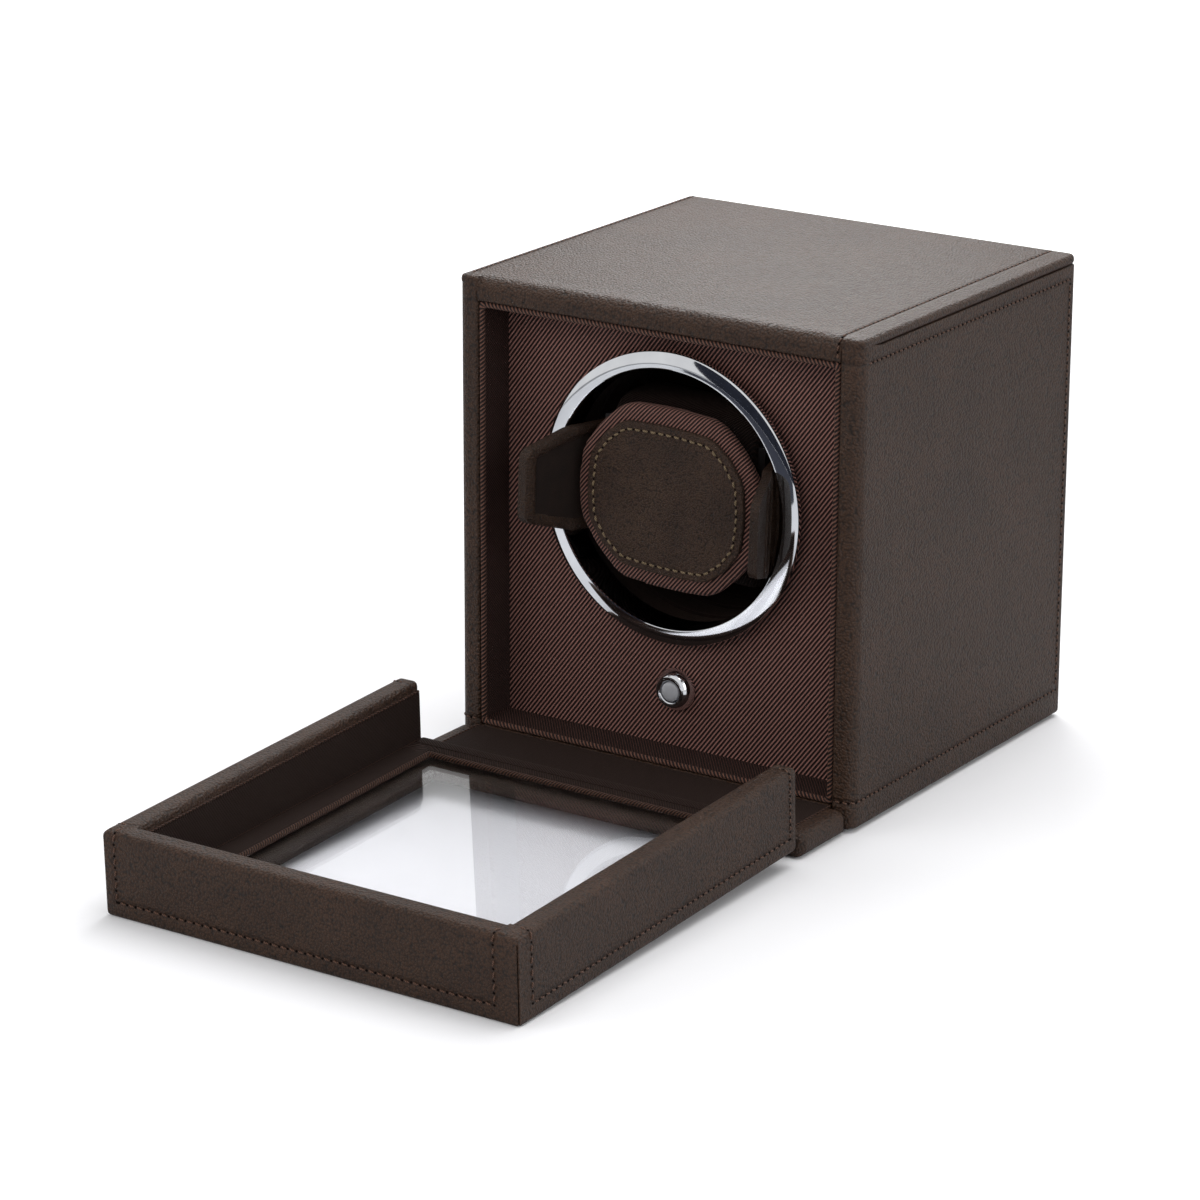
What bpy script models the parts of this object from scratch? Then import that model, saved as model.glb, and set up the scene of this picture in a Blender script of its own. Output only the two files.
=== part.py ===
"""Single watch winder with a hinged glass cover, shown with the cover laid open.

A leather-covered case carries a twill-lined recess, a fascia with a chrome ring, and a
drum that a gearmotor turns. A removable cuff with two squeeze tabs plugs into the drum.
Metres, +Z up. The origin is the middle of the felt under the case, the front looks
along -Y, and the cover lies open in front of it.
"""

import math

import bmesh
import bpy
from mathutils import Vector

# General clearances and cutting allowances
GAP = 0.0003
OVERRUN = 0.002
WELD = 0.00001
ROUND_STEPS = 48
FINE_STEPS = 64
SMALL_STEPS = 20
LEAD_STEPS = 5

# Case: boards wrapped in leather
BOARD = 0.0074
EDGE_ROLL = 0.0028
TOP_LIP = 0.0031
BASE_BOARD = 0.0068
REAR_SETBACK = 0.0015
FELT = 0.0009
FELT_INSET = 0.0035

# Recess: a twill-wrapped liner and the fascia behind it
RECESS_DEPTH = 0.0143
LINER_WALL = 0.0015
LINER_SETBACK = 0.0009
FASCIA = 0.0035
SOFT_EDGE = 0.0005

# Chrome ring on the fascia, and the field round it
RING_ROOM = 0.0033
RING_WIDTH = 0.0052
RING_PROUD = 0.0066
RING_TOP_MARGIN = 0.0068
RING_SIDE_MARGIN = 0.0166
BUTTON_FIELD = 0.0346
RING_FACE_SHARES = (
    (0.0, 0.15),
    (0.05, 0.04),
    (0.14, 0.0),
    (0.55, 0.11),
    (0.88, 0.28),
    (0.96, 0.36),
    (1.0, 0.46),
)
RING_COLLAR = 0.0013
COLLAR_REACH = 0.0004

# Drum
DRUM_LEAN = math.radians(2)
DRUM_STEP = 0.0018
DRUM_WALL = 0.0018
DRUM_FLOOR = 0.0025
DRUM_RIB = 0.0007
DRUM_RIB_WIDTH = 0.0012
SHAFT_RADIUS = 0.003
SHAFT_HEAD = 0.0016
SHAFT_HEAD_RADIUS = 0.0062
SHAFT_TAIL = 0.006
RUNNING = 0.0002

# Gear pair
GEAR_MODULE = 0.001
GEAR_TEETH = 48
PINION_TEETH = 12
GEAR_WIDTH = 0.006
GEAR_ROOM = 0.0035
PLATE_ROOM = 0.004
BACKLASH = 0.00018
PRESSURE_ANGLE = math.radians(20)
ADDENDUM_SHARE = 0.9
DEDENDUM_SHARE = 1.2
PINION_ANGLE = math.radians(225)

# Mechanism plate, pillars, bush and gearmotor
PLATE = 0.003
PLATE_CLEARANCE = 0.0006
PLATE_CORNER = 0.008
PLATE_MARGIN = 0.0015
LEG_RADIUS = 0.0042
LEG_FOOT_RADIUS = 0.0065
LEG_FOOT = 0.0025
SCREW_RADIUS = 0.0015
SCREW_HEAD_RADIUS = 0.0032
SCREW_HEAD = 0.0022
BUSH_WALL = 0.002
BUSH_FLANGE = 0.0016
BUSH_FLANGE_RADIUS = 0.0085
BUSH_LENGTH = 0.012
CLIP = 0.001
CLIP_RADIUS = 0.0052
MOTOR_RADIUS = 0.0125
MOTOR_GEARBOX = 0.019
MOTOR_CAN = 0.0165
MOTOR_CAN_RADIUS = 0.0118
MOTOR_BOSS = 0.0035
MOTOR_BOSS_RADIUS = 0.0038
MOTOR_SHAFT_RADIUS = 0.0015
MOTOR_SCREW_SPREAD = 0.0085
MOTOR_REAR_ROOM = 0.0052

# Button, its bezel, the switch and the board behind it
BUTTON_HEIGHT_SHARE = 0.535
BEZEL_RADIUS = 0.00675
BEZEL_FRONT_RADIUS = 0.0048
BEZEL_PROUD = 0.0045
BEZEL_COLLAR_RADIUS = 0.0050
BEZEL_COLLAR = 0.0050
NUT_WIDTH = 0.0135
NUT = 0.0025
CAP_RADIUS = 0.0031
CAP_PROUD = 0.0006
CAP_SLEEVE = 0.0010
BUTTON_TRAVEL = 0.0012
SWITCH_WIDTH = 0.012
SWITCH = 0.0048
PLUNGER = 0.0043
CAP_FLANGE = 0.001
CAP_FLANGE_RADIUS = 0.0042
CAP_DOME_SHARES = ((0.45, 0.88), (0.80, 0.50))
LED_RADIUS = 0.0016
LED = 0.0080
LED_DOME_SHARES = (0.6, 0.25)
BOARD_WIDTH = 0.056
BOARD_CARD = 0.0016
CARD_SPACER_RADIUS = 0.003
CHIP = 0.0014
CHIP_WIDTH = 0.009
PLUG_BLOCK = 0.006
CARD_MARGIN = 0.004

# Mains adapter inlet in the rear panel
INLET_SIDE_SHARE = 0.62
INLET_HEIGHT = 0.022
INLET_RADIUS = 0.0042
INLET_FLANGE_RADIUS = 0.0062
INLET_FLANGE = 0.0013
INLET_BORE = 0.0029
INLET_BORE_DEPTH = 0.0095
INLET_PIN = 0.001
INLET_LENGTH = 0.013
LEAD_RADIUS = 0.0013
LEAD_RUN = 0.0065
LEAD_BEND = 0.0022
LEAD_BACK = 0.0027

# Cover: four leather pieces round a window, with its glass and twill frame
LID_DEPTH = 0.027
LID_WALL = 0.0075
LID_CLEARANCE = 0.0006
LID_EDGE = 0.0018
HINGE_HEIGHT = 0.0055
HINGE_LEATHER = 0.0008
HINGE_BOARD = 0.008
HINGE_BOARD_INSET = 0.0015
HINGE_BOARD_EDGE = 0.0024
LID_HEEL = 0.0036
LID_FRAME = 0.003
LID_FRAME_WIDTH = 0.0155
GLASS = 0.002
GLASS_SEAT = 0.004
TWILL_FRAME = 0.002
TWILL_FRAME_WIDTH = 0.0096
MAGNET_RADIUS = 0.0025
MAGNET = 0.002
MAGNET_COVER = 0.0015
MAGNET_SIDE_SHARE = 0.72

# Cuff: padded plate, leather patch, core, foot, cheeks and squeeze tabs
PAD_WIDTH = 0.0652
PAD_HEIGHT = 0.0566
PAD = 0.005
PAD_PROUD = 0.0003
PAD_EDGE = 0.0014
PATCH_SIDE_MARGIN = 0.0046
PATCH_END_MARGIN = 0.00505
PATCH = 0.0011
PATCH_EDGE = 0.0003
CORE_SIDE_MARGIN = 0.0066
CORE_END_MARGIN = 0.00105
CORE_ROOM = 0.0038
CORE_ROUND = 0.014
CORE_STRAIGHT = 0.006
FOOT_WIDTH = 0.020
FOOT_HEIGHT = 0.010
FOOT_ROOM = 0.002
SOCKET_WALL = 0.0024
SOCKET = 0.011
CHEEK = 0.0024
CHEEK_HEIGHT = 0.040
LUG = 0.0028
PIN_RADIUS = 0.0012
PIN_INSET = 0.0003
PIN_MARGIN = 0.0024
KNUCKLE_RADIUS = 0.0029
KNUCKLE_SPAN = 0.024
SPRING_SPAN = 0.008
SPRING_WIRE = 0.0004
SPRING_TURNS = 6
TAB = 0.003
TAB_ROOM = 0.0017
TAB_REACH = 0.017
TAB_FLARE = 0.006
TAB_ROOT_HEIGHT = 0.0335
TAB_TIP_HEIGHT = 0.0245
TAB_CORNER = 0.0035
TAB_ROWS = 16
TAB_COLUMNS = 8
TAB_CROWDING = 1.6
GRIP_RIBS = 3
GRIP_FIRST = 0.0108
GRIP_PITCH = 0.005
GRIP_WIDTH = 0.001
GRIP_PROUD = 0.0004
GRIP_SUNK = 0.001
GRIP_MARGIN = 0.0024
GRIP_STEPS = 8
CUFF_RIM_SHARES = ((0.0, 1.0), (0.46, 1.0), (0.74, 0.80), (0.94, 0.38), (1.0, 0.12))

# Radii and widths that follow from the cuff, from the inside outwards
TAB_INNER_RADIUS = PAD_WIDTH / 2 + TAB_ROOM
PIN_SIDE = TAB_INNER_RADIUS - PIN_INSET
RING_BORE = TAB_INNER_RADIUS + TAB + RING_ROOM
RING_RADIUS = RING_BORE + RING_WIDTH
DRUM_BORE = RING_BORE + DRUM_STEP
PATCH_WIDTH = PAD_WIDTH - 2 * PATCH_SIDE_MARGIN
PATCH_HEIGHT = PAD_HEIGHT - 2 * PATCH_END_MARGIN
CORE_WIDTH = PAD_WIDTH - 2 * CORE_SIDE_MARGIN
CORE_HEIGHT = PAD_HEIGHT - 2 * CORE_END_MARGIN
PLATE_WIDTH = 2 * (RING_RADIUS + RING_TOP_MARGIN - PLATE_CLEARANCE)
LEG_SPREAD = PLATE_WIDTH / 2 - PLATE_MARGIN - LEG_FOOT_RADIUS

# Places on the cuff, behind the case's front
PAD_FRONT_Z = PAD_PROUD + RING_PROUD - RECESS_DEPTH
PAD_BACK_Z = PAD_FRONT_Z - PAD
CORE_FRONT_Z = PAD_BACK_Z - GAP
CORE_DEPTH = 2 * CORE_ROUND + CORE_STRAIGHT
CORE_BACK_Z = CORE_FRONT_Z - CORE_DEPTH
PIN_Z = CORE_BACK_Z + CORE_ROUND / 2 + PIN_MARGIN + KNUCKLE_RADIUS

# Depths behind the case's front, in the order in which the pieces stack
FASCIA_BACK = RECESS_DEPTH + FASCIA
COLLAR_END = FASCIA_BACK + COLLAR_REACH
DRUM_FRONT = COLLAR_END + 2 * GAP
DRUM_FLOOR_FRONT = CORE_ROOM + SOCKET + GAP - CORE_BACK_Z
DRUM_LENGTH = DRUM_FLOOR_FRONT - DRUM_FRONT
DRUM_FLOOR_BACK = DRUM_FLOOR_FRONT + DRUM_FLOOR
GEAR_FRONT = DRUM_FLOOR_BACK + GEAR_ROOM
GEAR_BACK = GEAR_FRONT + GEAR_WIDTH
PLATE_FRONT = GEAR_BACK + PLATE_ROOM
PLATE_BACK = PLATE_FRONT + PLATE
MOTOR_FRONT = PLATE_BACK + GAP
MOTOR_BACK = MOTOR_FRONT + MOTOR_GEARBOX + MOTOR_CAN
CASE_DEPTH = MOTOR_BACK + MOTOR_REAR_ROOM + BOARD + REAR_SETBACK
FRONT_Y = -CASE_DEPTH / 2

# Heights and sides of the case, from the felt upwards and from the ring outwards
BASE_LOW = FELT + GAP
BASE_TOP = BASE_LOW + BASE_BOARD
LINER_LOW = BASE_TOP + GAP
RECESS_LOW = LINER_LOW + LINER_WALL
RING_LOW = RECESS_LOW + BUTTON_FIELD
DRUM_Z = RING_LOW + RING_RADIUS
RECESS_HIGH = DRUM_Z + RING_RADIUS + RING_TOP_MARGIN
LINER_HIGH = RECESS_HIGH + LINER_WALL
ROOF_LOW = LINER_HIGH + GAP
CASE_HEIGHT = ROOF_LOW + BOARD
LINER_SIDE = RING_RADIUS + RING_SIDE_MARGIN + LINER_WALL
INNER_SIDE = LINER_SIDE + GAP
CASE_WIDTH = 2 * (INNER_SIDE + BOARD)
BUTTON_Z = RECESS_LOW + BUTTON_HEIGHT_SHARE * BUTTON_FIELD
BUTTON_DROP = BUTTON_Z - DRUM_Z
GEAR_PITCH = GEAR_MODULE * GEAR_TEETH / 2
PINION_PITCH = GEAR_MODULE * PINION_TEETH / 2
MESH_DISTANCE = GEAR_PITCH + PINION_PITCH

# The cover's own lengths, from its hinge line outwards
LID_LENGTH = CASE_HEIGHT - HINGE_HEIGHT
LID_TILT = math.asin(HINGE_HEIGHT / (LID_LENGTH - LID_EDGE))
LID_WALL_HEIGHT = LID_DEPTH - LID_CLEARANCE
LID_SIDE = CASE_WIDTH / 2 - LID_WALL
LID_PANEL_SIDE = LID_SIDE - GAP
LID_PANEL_FAR = LID_LENGTH - LID_WALL - GAP
GLASS_LOW = LID_FRAME + GAP
TWILL_LOW = GLASS_LOW + GLASS + GAP


def clear_scene():
    for old in list(bpy.data.objects):
        bpy.data.objects.remove(old, do_unlink=True)
    for old in list(bpy.data.collections):
        bpy.data.collections.remove(old)


def new_collection(name):
    collection = bpy.data.collections.new(name)
    bpy.context.scene.collection.children.link(collection)
    return collection


def finish_of(name, colour, roughness, metallic=0.0, alpha=1.0, transmission=0.0):
    """A Principled material in linear colour values."""
    material = bpy.data.materials.new(name)
    material.use_nodes = True
    shader = material.node_tree.nodes["Principled BSDF"]
    shader.inputs["Base Color"].default_value = (*colour, 1.0)
    shader.inputs["Roughness"].default_value = roughness
    shader.inputs["Metallic"].default_value = metallic
    shader.inputs["Alpha"].default_value = alpha
    shader.inputs["Transmission Weight"].default_value = transmission
    material.diffuse_color = (*colour, alpha)
    return material


clear_scene()
WINDER = new_collection("watch_winder")
CUTTERS = new_collection("cutters")

LEATHER = finish_of("leather", (0.058, 0.044, 0.038), 0.55)
PATCH_LEATHER = finish_of("patch_leather", (0.047, 0.036, 0.030), 0.5)
TWILL = finish_of("twill", (0.095, 0.045, 0.040), 0.85)
LINING = finish_of("lining_twill", (0.040, 0.021, 0.016), 0.9)
FELT_FINISH = finish_of("felt", (0.012, 0.010, 0.009), 1.0)
CHROME = finish_of("chrome", (0.88, 0.88, 0.90), 0.06, 1.0)
STEEL = finish_of("steel", (0.56, 0.56, 0.57), 0.32, 1.0)
BRASS = finish_of("brass", (0.66, 0.50, 0.24), 0.35, 1.0)
BLACK_PLASTIC = finish_of("black_plastic", (0.014, 0.012, 0.012), 0.45)
ACETAL = finish_of("acetal", (0.78, 0.77, 0.73), 0.5)
CLEAR = finish_of("clear_plastic", (0.80, 0.85, 0.88), 0.08, 0.0, 0.6, 0.8)
GLASS_FINISH = finish_of("glass", (0.92, 0.96, 0.95), 0.02, 0.0, 0.3, 0.95)
FOAM = finish_of("foam_cover", (0.030, 0.020, 0.017), 0.9)
CARD_GREEN = finish_of("circuit_card", (0.02, 0.13, 0.05), 0.4)
MAGNET_FINISH = finish_of("magnet_nickel", (0.62, 0.61, 0.58), 0.25, 1.0)
WIRE = finish_of("wire_sleeve", (0.010, 0.010, 0.011), 0.5)


def pivot(name, location, rotation=(0.0, 0.0, 0.0), parent=None):
    """An empty that stands on a joint's axis or holds a group of pieces."""
    empty = bpy.data.objects.new(name, None)
    empty.location = location
    empty.rotation_euler = rotation
    empty.parent = parent
    WINDER.objects.link(empty)
    return empty


def place(obj, material, parent):
    """Gives a new piece its finish, its parent and its place in the collection."""
    obj.data.materials.clear()
    obj.data.materials.append(material)
    obj.parent = parent
    WINDER.objects.link(obj)
    return obj


def soften(obj, width, segments=2):
    """Rounds a piece's edges."""
    bevel = obj.modifiers.new("rounded_edges", "BEVEL")
    bevel.width = width
    bevel.segments = segments
    bevel.limit_method = "ANGLE"
    bevel.angle_limit = math.radians(40)
    obj.data.shade_smooth()
    obj.data.set_sharp_from_angle(angle=math.radians(35))


def cube_mesh(name, low, high):
    """A box between two corners, with its place in the mesh."""
    low, high = Vector(low), Vector(high)
    bm = bmesh.new()
    bmesh.ops.create_cube(bm, size=1.0)
    bmesh.ops.scale(bm, vec=high - low, verts=bm.verts)
    bmesh.ops.translate(bm, vec=(high + low) / 2, verts=bm.verts)
    mesh = bpy.data.meshes.new(name)
    bm.to_mesh(mesh)
    bm.free()
    return mesh


def box(name, low, high, material, parent=None, edge=0.0, segments=2):
    obj = place(bpy.data.objects.new(name, cube_mesh(name, low, high)), material, parent)
    if edge:
        soften(obj, edge, segments)
    return obj


def prism(name, loops, low, high, material, parent=None, edge=0.0, segments=2):
    """A flat outline with its holes, in the local XY plane, thick from low to high in Z."""
    curve = bpy.data.curves.new(name, "CURVE")
    curve.dimensions = "2D"
    curve.fill_mode = "BOTH"
    curve.extrude = (high - low) / 2
    for loop in loops:
        spline = curve.splines.new("POLY")
        spline.points.add(len(loop) - 1)
        for point, (x, y) in zip(spline.points, loop):
            point.co = (x, y, 0.0, 1.0)
        spline.use_cyclic_u = True
    outline = bpy.data.objects.new(name + "_outline", curve)
    bpy.context.scene.collection.objects.link(outline)
    graph = bpy.context.evaluated_depsgraph_get()
    mesh = bpy.data.meshes.new_from_object(outline.evaluated_get(graph))
    bpy.data.objects.remove(outline, do_unlink=True)
    bm = bmesh.new()
    bm.from_mesh(mesh)
    bmesh.ops.remove_doubles(bm, verts=bm.verts, dist=WELD)
    bmesh.ops.translate(bm, vec=(0.0, 0.0, (high + low) / 2), verts=bm.verts)
    bm.to_mesh(mesh)
    bm.free()
    mesh.name = name
    obj = place(bpy.data.objects.new(name, mesh), material, parent)
    if edge:
        soften(obj, edge, segments)
    return obj


def turned(name, profile, material, parent=None, steps=ROUND_STEPS, closed=True):
    """A profile of (radius, height) pairs turned about local Z, run down its outer side.

    A closed profile is a ring. An open one starts and ends on the axis.
    """
    mesh = bpy.data.meshes.new(name)
    points = [(radius, 0.0, height) for radius, height in profile]
    edges = [(i, i + 1) for i in range(len(points) - 1)]
    if closed:
        edges.append((len(points) - 1, 0))
    mesh.from_pydata(points, edges, [])
    obj = place(bpy.data.objects.new(name, mesh), material, parent)
    screw = obj.modifiers.new("turned", "SCREW")
    screw.axis = "Z"
    screw.steps = steps
    screw.render_steps = steps
    screw.use_merge_vertices = True
    screw.merge_threshold = WELD
    screw.use_smooth_shade = True
    return obj


def rod(name, radius, low, high, material, parent=None, steps=SMALL_STEPS):
    profile = [(0.0, high), (radius, high), (radius, low), (0.0, low)]
    return turned(name, profile, material, parent, steps, closed=False)


def tube(name, points, radius, material, parent=None, resolution=2):
    """A round wire along a list of points, with filled ends."""
    curve = bpy.data.curves.new(name, "CURVE")
    curve.dimensions = "3D"
    curve.bevel_depth = radius
    curve.bevel_resolution = resolution
    curve.use_fill_caps = True
    spline = curve.splines.new("POLY")
    spline.points.add(len(points) - 1)
    for point, place_at in zip(spline.points, points):
        point.co = (*place_at, 1.0)
    return place(bpy.data.objects.new(name, curve), material, parent)


def smooth_route(knots, spans):
    """Points on a smooth curve through the knots, spans between each pair."""
    ends = [knots[0], *knots, knots[-1]]
    route = []
    for a, b, c, d in zip(ends, ends[1:], ends[2:], ends[3:]):
        for i in range(spans):
            t = i / spans
            bend = (2 * a - 5 * b + 4 * c - d) * t + (3 * b - a - 3 * c + d) * t * t
            route.append(b + ((c - a) + bend) * t / 2)
    route.append(knots[-1])
    return route


def bent_route(corners, bend, steps):
    """Points along straight runs between the corners, with an arc of radius bend at each."""
    route = [corners[0]]
    for before, corner, after in zip(corners, corners[1:], corners[2:]):
        come = (corner - before).normalized()
        leave = (after - corner).normalized()
        turn = come.angle(leave)
        back = bend * math.tan(turn / 2)
        inward = (leave - come * come.dot(leave)).normalized()
        start = corner - come * back
        for i in range(steps + 1):
            angle = turn * i / steps
            route.append(start + bend * (come * math.sin(angle) + inward * (1 - math.cos(angle))))
    route.append(corners[-1])
    return route


def as_cutter(obj):
    """Moves a piece among the cutters and keeps it out of the object."""
    WINDER.objects.unlink(obj)
    CUTTERS.objects.link(obj)
    obj.hide_render = True
    obj.display_type = "WIRE"
    return obj


def combine(obj, other, operation):
    boolean = obj.modifiers.new(other.name, "BOOLEAN")
    boolean.operation = operation
    boolean.solver = "EXACT"
    boolean.object = as_cutter(other)


def cut(obj, cutter):
    combine(obj, cutter, "DIFFERENCE")


def drill(obj, name, radius, low, high, parent, location=(0.0, 0.0, 0.0), rotation=(0.0, 0.0, 0.0)):
    """A round hole from low to high along the local Z of its place."""
    bit = rod(name, radius, low, high, obj.data.materials[0], parent)
    bit.location = location
    bit.rotation_euler = rotation
    cut(obj, bit)
    return bit


def circle(radius, steps, centre=(0.0, 0.0)):
    turn = 2 * math.pi / steps
    return [
        (centre[0] + radius * math.cos(i * turn), centre[1] + radius * math.sin(i * turn))
        for i in range(steps)
    ]


def rectangle(x_low, x_high, y_low, y_high):
    return [(x_low, y_low), (x_high, y_low), (x_high, y_high), (x_low, y_high)]


def rounded_rectangle(width, height, radius, steps=4):
    """A rectangle about the origin with arcs at its corners."""
    points = []
    for quarter in range(4):
        sign_x = 1 if quarter in (0, 3) else -1
        sign_y = 1 if quarter < 2 else -1
        for i in range(steps + 1):
            angle = (quarter + i / steps) * math.pi / 2
            points.append(
                (
                    sign_x * (width / 2 - radius) + radius * math.cos(angle),
                    sign_y * (height / 2 - radius) + radius * math.sin(angle),
                )
            )
    return points


def cushion_outline(width, height):
    """The cuff's eight-sided outline: flat above and below, bulged at its sides, all corners soft.

    CUFF_RIM_SHARES gives one quarter as shares of the half width and the half height.
    """
    knots = [Vector((x * width / 2, y * height / 2)) for x, y in CUFF_RIM_SHARES]
    quarter = smooth_route(knots, 3)
    upper = [(-p.x, p.y) for p in reversed(quarter[1:])] + [(p.x, p.y) for p in quarter]
    return upper + [(x, -y) for x, y in reversed(upper)]


def gear_outline(teeth, tooth_phase):
    """Involute teeth. A tooth stands centred on the angle tooth_phase."""
    pitch = GEAR_MODULE * teeth / 2
    base = pitch * math.cos(PRESSURE_ANGLE)
    tip = pitch + ADDENDUM_SHARE * GEAR_MODULE
    root = pitch - DEDENDUM_SHARE * GEAR_MODULE
    half_tooth = math.pi / (2 * teeth) - BACKLASH / (2 * pitch)

    def involute(radius):
        if radius <= base:
            return 0.0
        angle = math.acos(base / radius)
        return math.tan(angle) - angle

    at_pitch = involute(pitch)
    flank = [root, max(root, base), pitch, (pitch + tip) / 2, tip]
    points = []
    for tooth in range(teeth):
        centre = tooth_phase + tooth * 2 * math.pi / teeth
        sides = [(radius, half_tooth + at_pitch - involute(radius)) for radius in flank]
        rising = [(radius, centre - turn) for radius, turn in sides]
        falling = [(radius, centre + turn) for radius, turn in reversed(sides)]
        for radius, angle in rising + falling:
            point = (radius * math.cos(angle), radius * math.sin(angle))
            if not points or math.dist(point, points[-1]) > WELD:
                points.append(point)
    return points


def build_case():
    """Felt, base, sides, roof and rear: boards wrapped in leather."""
    half = CASE_WIDTH / 2
    back_y = FRONT_Y + CASE_DEPTH
    rear_back = back_y - REAR_SETBACK
    box(
        "base_felt",
        (FELT_INSET - half, FRONT_Y + FELT_INSET, 0.0),
        (half - FELT_INSET, back_y - FELT_INSET, FELT),
        FELT_FINISH,
    )
    box(
        "base_panel",
        (-LINER_SIDE, FRONT_Y, BASE_LOW),
        (LINER_SIDE, rear_back - BOARD - GAP, BASE_TOP),
        LEATHER,
        edge=SOFT_EDGE,
    )
    for side, sign in (("left", -1), ("right", 1)):
        near, far = sorted((sign * INNER_SIDE, sign * half))
        box(
            f"side_panel_{side}",
            (near, FRONT_Y, BASE_LOW),
            (far, back_y, CASE_HEIGHT - TOP_LIP - GAP),
            LEATHER,
            edge=EDGE_ROLL,
            segments=3,
        )
    roof = box(
        "top_panel",
        (-half, FRONT_Y, ROOF_LOW),
        (half, back_y, CASE_HEIGHT),
        LEATHER,
        edge=EDGE_ROLL,
        segments=3,
    )
    for side, sign in (("left", -1), ("right", 1)):
        near, far = sorted((sign * (INNER_SIDE - GAP), sign * (half + OVERRUN)))
        rebate = box(
            f"roof_rebate_{side}",
            (near, FRONT_Y - OVERRUN, ROOF_LOW - OVERRUN),
            (far, back_y + OVERRUN, CASE_HEIGHT - TOP_LIP),
            LEATHER,
        )
        cut(roof, rebate)
    rear = box(
        "rear_panel",
        (-LINER_SIDE, rear_back - BOARD, BASE_LOW),
        (LINER_SIDE, rear_back, LINER_HIGH),
        LEATHER,
        edge=SOFT_EDGE,
    )
    return roof, rear


def build_recess():
    """The liner's four walls as one frame, and the fascia with its two holes."""
    upright = (math.pi / 2, 0.0, 0.0)
    face = pivot("case_front", (0.0, FRONT_Y, 0.0), upright)
    inner = rectangle(LINER_WALL - LINER_SIDE, LINER_SIDE - LINER_WALL, RECESS_LOW, RECESS_HIGH)
    outer = rectangle(-LINER_SIDE, LINER_SIDE, LINER_LOW, LINER_HIGH)
    prism(
        "recess_liner",
        [outer, inner],
        GAP - RECESS_DEPTH,
        -LINER_SETBACK,
        TWILL,
        face,
        edge=SOFT_EDGE,
    )
    ring_hole = circle(RING_BORE + RING_COLLAR + GAP, ROUND_STEPS, (0.0, DRUM_Z))
    button_hole = circle(BEZEL_COLLAR_RADIUS + GAP, SMALL_STEPS, (0.0, BUTTON_Z))
    prism(
        "fascia_panel",
        [outer, ring_hole, button_hole],
        -FASCIA_BACK,
        -RECESS_DEPTH,
        TWILL,
        face,
    )


def build_ring(works):
    """The polished ring: a domed flange on the fascia and a collar through it."""
    crown = RING_PROUD - RECESS_DEPTH
    seat = -(RECESS_DEPTH - GAP)
    width = RING_RADIUS - RING_BORE
    face = [(RING_BORE + x * width, crown - z * RING_PROUD) for x, z in RING_FACE_SHARES]
    profile = [
        *face,
        (RING_RADIUS, seat),
        (RING_BORE + RING_COLLAR, seat),
        (RING_BORE + RING_COLLAR, -COLLAR_END),
        (RING_BORE, -COLLAR_END),
    ]
    turned("chrome_ring", profile, CHROME, works, FINE_STEPS)


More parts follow.
